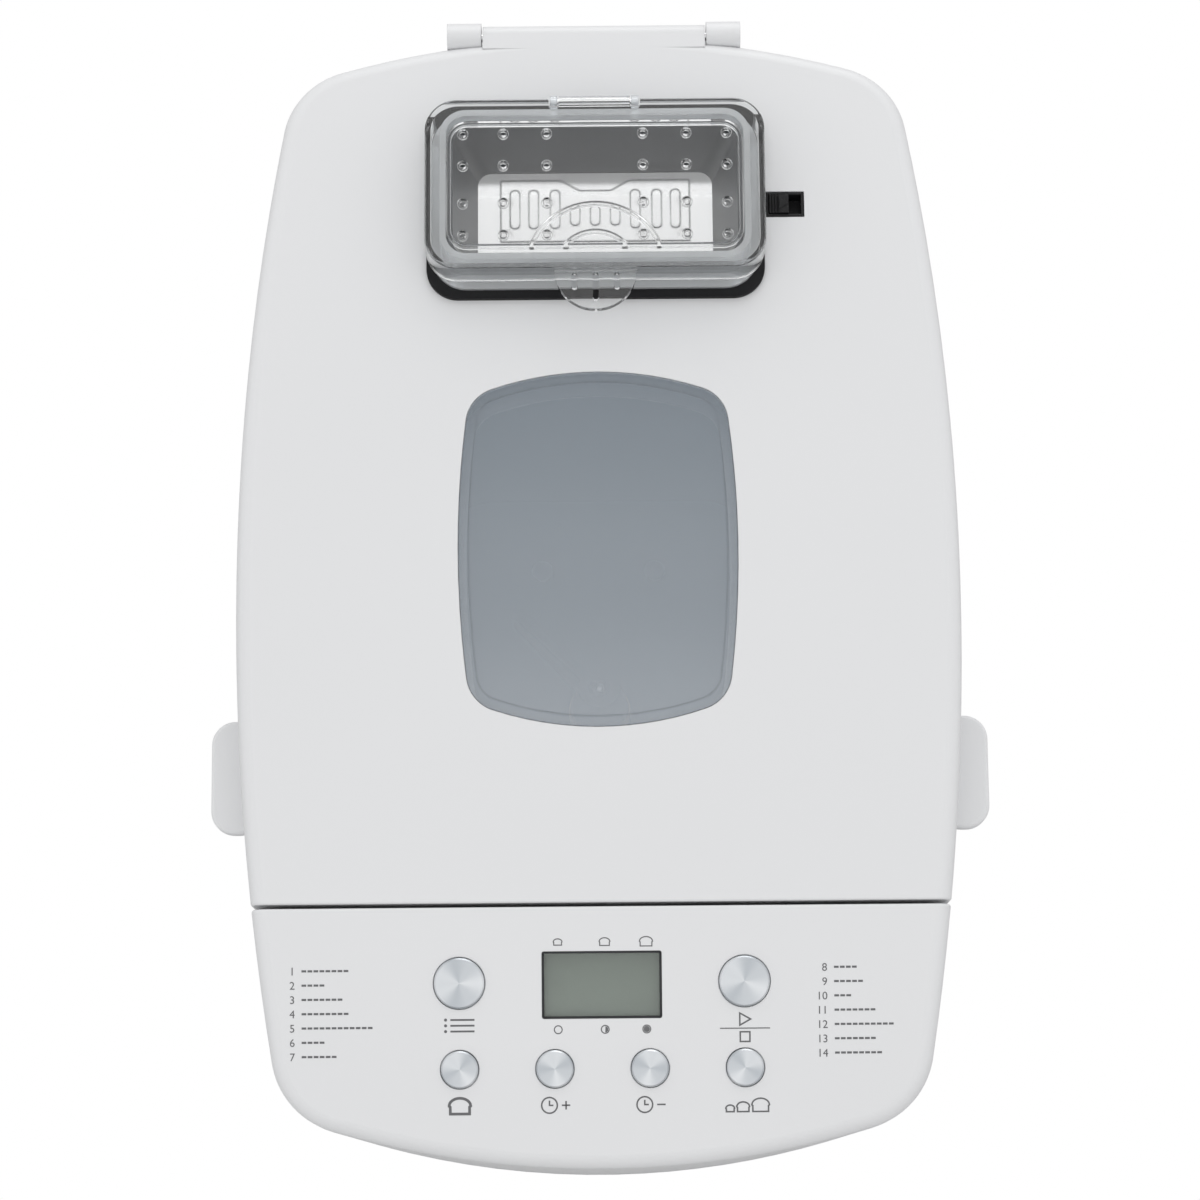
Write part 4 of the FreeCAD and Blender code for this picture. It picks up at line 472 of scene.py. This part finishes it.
def stroke(points, width=line, closed=False):
    """Band of even width along a run of points, as four-cornered faces."""
    count = len(points)
    sides = []
    for index, (u, v) in enumerate(points):
        before = points[index - 1] if closed or index else None
        after = points[(index + 1) % count] if closed or index < count - 1 else None
        runs = [Vector((u - before[0], v - before[1])) for _ in [0] if before is not None]
        runs += [Vector((after[0] - u, after[1] - v)) for _ in [0] if after is not None]
        normals = [Vector((-run.y, run.x)).normalized() for run in runs]
        middle = sum(normals, Vector((0, 0))).normalized()
        reach = width / 2 / max(middle.dot(normals[0]), 0.4)
        step = middle * reach
        sides.append(((u + step.x, v + step.y), (u - step.x, v - step.y)))
    last = count if closed else count - 1
    pairs = [(sides[index], sides[(index + 1) % count]) for index in range(last)]
    return [[near[0], near[1], far[1], far[0]] for near, far in pairs]


def bar(u, v, length, height):
    low, high = v - height / 2, v + height / 2
    return [(u, low), (u + length, low), (u + length, high), (u, high)]


def numeral(text, u, v, height):
    """Faces of a number, right-aligned at u."""
    curve = bpy.data.curves.new("numeral", "FONT")
    curve.body = text
    curve.align_x = "RIGHT"
    curve.size = height / 0.7
    curve.resolution_u = 4
    holder = bpy.data.objects.new("numeral", curve)
    mesh = bpy.data.meshes.new_from_object(holder)
    faces = [[(u + mesh.vertices[i].co.x, v - height / 2 + mesh.vertices[i].co.y) for i in face.vertices]
             for face in mesh.polygons]
    bpy.data.objects.remove(holder)
    bpy.data.curves.remove(curve)
    bpy.data.meshes.remove(mesh)
    return faces


def new_piece(name, mesh, material, body):
    piece = bpy.data.objects.new(name, mesh)
    scene.collection.objects.link(piece)
    mesh.materials.append(material)
    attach(piece, body)
    return piece


tip_slope = 38.0
tip_rings = 6
tip_sides = 32


def make_shaft_tip(finish):
    """Polished dome on the end of the pan's shaft, which shows through the window."""
    corners = [vertex.co for vertex in nodes["pan_shaft"].data.vertices]
    top = max(corner.z for corner in corners)
    end = [corner for corner in corners if top - corner.z < 0.05 * MM]
    middle = sum(end, Vector((0, 0, 0))) / len(end)
    rim = max((corner - middle).length for corner in end)
    sphere = rim / math.sin(math.radians(tip_slope))
    form = bmesh.new()
    rings = []
    for step in range(tip_rings):
        slope = math.radians(tip_slope * (tip_rings - step) / tip_rings)
        rise = sphere * (math.cos(slope) - math.cos(math.radians(tip_slope)))
        turns = [2 * math.pi * side / tip_sides for side in range(tip_sides)]
        reach = sphere * math.sin(slope)
        steps = [Vector((reach * math.cos(turn), reach * math.sin(turn), rise)) for turn in turns]
        rings.append([form.verts.new(middle + step) for step in steps])
    crest = form.verts.new(middle + Vector((0, 0, sphere * (1 - math.cos(math.radians(tip_slope))))))
    form.faces.new(rings[0][::-1])
    for low, high in zip(rings, rings[1:]):
        for side in range(tip_sides):
            after = (side + 1) % tip_sides
            form.faces.new([low[side], low[after], high[after], high[side]]).smooth = True
    for side in range(tip_sides):
        form.faces.new([rings[-1][side], rings[-1][(side + 1) % tip_sides], crest]).smooth = True
    mesh = bpy.data.meshes.new("shaft_tip")
    form.to_mesh(mesh)
    form.free()
    new_piece("shaft_tip", mesh, finish, "blade")


def print_piece(name, faces, ink, sheet=panel_sheet):
    """Printed sign that lies on a sheet and follows its curve."""
    form = bmesh.new()
    for face in faces:
        form.faces.new([form.verts.new(sheet_place(sheet, u, v)) for u, v in face])
    bmesh.ops.recalc_face_normals(form, faces=form.faces)
    for face in form.faces:
        if face.normal.dot(sheet["normal"]) < 0:
            face.normal_flip()
    bmesh.ops.remove_doubles(form, verts=form.verts, dist=0.002 * MM)
    mesh = bpy.data.meshes.new(name)
    form.to_mesh(mesh)
    form.free()
    piece = new_piece(name, mesh, ink, sheet["body"])
    solid = piece.modifiers.new("ink", "SOLIDIFY")
    solid.thickness = ink_thickness
    solid.offset = 1.0
    return piece


def loaf(u, v, width, height):
    """Closed outline of a tin loaf: straight sides under a domed top."""
    half = width / 2
    low = v - height / 2
    dome = [(u + half * 1.12 * math.cos(turn), v + height * 0.5 * math.sin(turn))
            for turn in (math.radians(180 * step / 12) for step in range(13))]
    shoulder = v - height * 0.06
    return [(u - half, low), (u + half, low), (u + half, shoulder)] + dome + [(u - half, shoulder)]


def clock(u, v, radius):
    hands = [(u, v + radius * 0.6), (u, v), (u + radius * 0.5, v)]
    return stroke(disc(u, v, radius), line, True) + stroke(hands)


def plus(u, v, reach):
    return minus(u, v, reach) + [bar(u - line / 2, v, line, 2 * reach)]


def minus(u, v, reach):
    return [bar(u - reach, v, 2 * reach, line)]


# Signs under the buttons, in the panel's millimetres
big_label = 14.0
small_label = 12.0
menu_rows = (1.9, 0.0, -1.9)
menu_bar = (8.0, 0.6)
menu_bar_left = 3.0
menu_dot = 0.5
menu_dot_left = 4.6
go_rise = 1.4
go_half = 2.0
go_left = 1.7
go_right = 1.9
stop_drop = 4.4
stop_half = 1.6
rule_drop = 1.6
rule_length = 16.6
rule_width = 0.35
crust_loaf = (6.4, 5.2)
crust_line = 0.9
clock_left = 1.9
clock_radius = 2.6
sign_right = 3.6
sign_reach = 1.4
size_loaves = ((-5.2, 2.6), (-0.9, 3.8), (4.9, 5.2))
size_drop = 2.6
size_shape = 0.84


def print_menu_sign(ink):
    """Three listed lines."""
    u, v = panel_spot("menu_button")
    rows = [v - big_label + step for step in menu_rows]
    faces = [bar(u - menu_bar_left, row, *menu_bar) for row in rows]
    faces += [disc(u - menu_dot_left, row, menu_dot) for row in rows]
    print_piece("menu_sign", faces, ink)


def print_start_sign(ink):
    """Triangle over a rule over a square."""
    u, v = panel_spot("start_button")
    base = v - big_label
    go, stop, rule = base + go_rise, base - stop_drop, base - rule_drop
    faces = stroke([(u - go_left, go + go_half), (u - go_left, go - go_half), (u + go_right, go)], line, True)
    left, right, low, high = u - stop_half, u + stop_half, stop - stop_half, stop + stop_half
    faces += stroke([(left, high), (left, low), (right, low), (right, high)], line, True)
    faces.append(bar(u - rule_length / 2, rule, rule_length, rule_width))
    print_piece("start_sign", faces, ink)


def print_small_signs(ink):
    """Loaf, clocks with plus and minus, and loaves of three sizes."""
    u, v = panel_spot("crust_button")
    print_piece("crust_sign", stroke(loaf(u, v - small_label, *crust_loaf), crust_line, True), ink)

    for name, sign in (("time_up_button", plus), ("time_down_button", minus)):
        u, v = panel_spot(name)
        faces = clock(u - clock_left, v - small_label, clock_radius)
        faces += sign(u + sign_right, v - small_label, sign_reach)
        print_piece(name.replace("button", "sign"), faces, ink)

    u, v = panel_spot("size_button")
    faces = []
    for shift, width in size_loaves:
        height = width * size_shape
        faces += stroke(loaf(u + shift, v - small_label - size_drop + height / 2, width, height), line, True)
    print_piece("size_sign", faces, ink)


def print_labels(ink):
    print_menu_sign(ink)
    print_start_sign(ink)
    print_small_signs(ink)


# Programme lists, in the panel's millimetres
list_left = -102.0
list_right = 75.0
list_top = 4.4
list_pitch = 4.72
dash = 1.55
dash_pitch = 2.0
programme_dashes = (8, 4, 7, 8, 12, 4, 6, 4, 5, 3, 7, 10, 7, 8)


def print_programmes(ink):
    """Numbers of the programmes, each with a row of dashes for its length."""
    for name, first, u in (("programme_list_left", 0, list_left), ("programme_list_right", 7, list_right)):
        faces = []
        for row in range(7):
            v = list_top - row * list_pitch
            faces += numeral(str(first + row + 1), u, v, 2.6)
            count = programme_dashes[first + row]
            faces += [bar(u + 2.2 + step * dash_pitch, v, dash, 0.7) for step in range(count)]
        print_piece(name, faces, ink)


scale_columns = (-14.6, 1.0, 14.8)
size_row = 13.4
shade_row = -15.6


def print_scales(ink):
    """Loaf sizes above the display and crust shades below it."""
    faces = []
    for u, width in zip(scale_columns, (2.6, 3.2, 3.9)):
        faces += stroke(loaf(u, size_row, width, width * 0.8), 0.35, True)
    print_piece("loaf_sizes", faces, ink)
    faces = []
    for u, share in zip(scale_columns, (0.0, 0.5, 1.0)):
        faces += stroke(disc(u, shade_row, 1.3), 0.35, True)
        if share:
            faces.append(disc(u, shade_row, 1.0, -90.0, -90.0 + 360.0 * share))
    print_piece("crust_shades", faces, ink)


def middle_of(name):
    corners = [vertex.co for vertex in nodes[name].data.vertices]
    low = Vector([min(corner[axis] for corner in corners) for axis in range(3)])
    high = Vector([max(corner[axis] for corner in corners) for axis in range(3)])
    return (low + high) / 2


# Half size of the display, and the width of the band of painted shade round its edge.
display_half = (20.0, 11.2)
display_painted_shade = 0.8


def print_display_painted_shade(ink):
    """Painted shade: a dark band round the display's edge, standing in for the shadow of the opening's walls.
    """
    sheet = sheet_on("lcd_lens", middle_of("lcd_lens"), panel_up, "housing")
    u, v = [half - display_painted_shade / 2 for half in display_half]
    faces = stroke([(-u, -v), (u, -v), (u, v), (-u, v)], display_painted_shade, True)
    print_piece("display_painted_shade", faces, ink, sheet)


def print_panel():
    ink = moulded("panel_ink", (0.135, 0.137, 0.142), (0.12, 0.122, 0.127), 0.5)
    print_labels(ink)
    print_programmes(ink)
    print_scales(ink)
    # Painted shade round the display's edge, in a near-black finish.
    print_display_painted_shade(moulded("painted_shade_finish", (0.03, 0.032, 0.034), (0.026, 0.027, 0.03), 0.5))


# Studio
def make_camera():
    data = bpy.data.cameras.new("photo_camera")
    data.lens = camera_lens
    data.sensor_width = camera_sensor
    camera = bpy.data.objects.new("photo_camera", data)
    scene.collection.objects.link(camera)
    tilt = Matrix.Rotation(math.radians(90.0 - camera_pitch), 4, "X")
    roll = Matrix.Rotation(math.radians(camera_roll), 4, "Z")
    camera.matrix_world = Matrix.Translation(camera_place) @ tilt @ roll
    scene.camera = camera


def make_lamp(name, place, size, power):
    data = bpy.data.lights.new(name, "AREA")
    data.size = size
    data.energy = power
    lamp = bpy.data.objects.new(name, data)
    lamp.location = place
    lamp.rotation_euler = (Vector((0, 0, 0.15)) - place).to_track_quat("-Z", "Y").to_euler()
    scene.collection.objects.link(lamp)


def studio_paper():
    """Paper that looks white, but throws little light up at the machine."""
    paper = moulded("studio_paper", (0.5, 0.5, 0.5), (0.48, 0.48, 0.48), 0.8)
    tree = paper.node_tree
    path = tree.nodes.new("ShaderNodeLightPath")
    glow = add(tree, "ShaderNodeEmission", {"Color": (1, 1, 1, 1), "Strength": 1.0})
    both = tree.nodes.new("ShaderNodeMixShader")
    tree.links.new(path.outputs["Is Camera Ray"], both.inputs[0])
    tree.links.new(tree.nodes["Principled BSDF"].outputs[0], both.inputs[1])
    tree.links.new(glow.outputs[0], both.inputs[2])
    tree.links.new(both.outputs[0], tree.nodes["Material Output"].inputs["Surface"])
    return paper


def make_floor():
    mesh = bpy.data.meshes.new("studio_floor")
    corners = [(-1, -1), (1, -1), (1, 1), (-1, 1)]
    points = [(x * floor_half, y * floor_half, cad_low.z - floor_drop) for x, y in corners]
    mesh.from_pydata(points, [], [(0, 1, 2, 3)])
    mesh.materials.append(studio_paper())
    floor = bpy.data.objects.new("studio_floor", mesh)
    scene.collection.objects.link(floor)


def make_sky():
    """White sky in soft bands from front to rear, which the window and the metal mirror."""
    world = bpy.data.worlds.new("studio_sky")
    world.use_nodes = True
    tree = world.node_tree
    way = tree.nodes.new("ShaderNodeSeparateXYZ")
    tree.links.new(tree.nodes.new("ShaderNodeTexCoord").outputs["Generated"], way.inputs[0])
    share = band(tree, way.outputs["Y"], -1.0, 1.0)
    bands = add(tree, "ShaderNodeValToRGB", {"Fac": share})
    bands.color_ramp.interpolation = "EASE"
    stops = bands.color_ramp.elements
    ends = {0.0: stops[0], 1.0: stops[1]}
    for place, strength in sky_bands:
        stop = ends[place] if place in ends else stops.new(place)
        stop.color = (*[strength / sky_peak] * 3, 1)
    height = band(tree, way.outputs["Z"], *sky_turn)
    edge = sum_of(tree, "MULTIPLY", sum_of(tree, "SUBTRACT", 1.0, height), sky_edge)
    upper = sum_of(tree, "MULTIPLY", sum_of(tree, "MULTIPLY", bands.outputs["Color"], height), sky_peak)
    tree.links.new(sum_of(tree, "ADD", edge, upper), tree.nodes["Background"].inputs["Strength"])
    tree.nodes["Background"].inputs["Color"].default_value = (1, 1, 1, 1)
    scene.world = world


def make_studio():
    scene.view_settings.view_transform = "Standard"
    make_sky()
    make_floor()
    make_lamp("key_lamp", key_place, key_size, key_power)
    make_lamp("fill_lamp", fill_place, fill_size, fill_power)
    make_camera()


dress_machine()
print_panel()
make_studio()
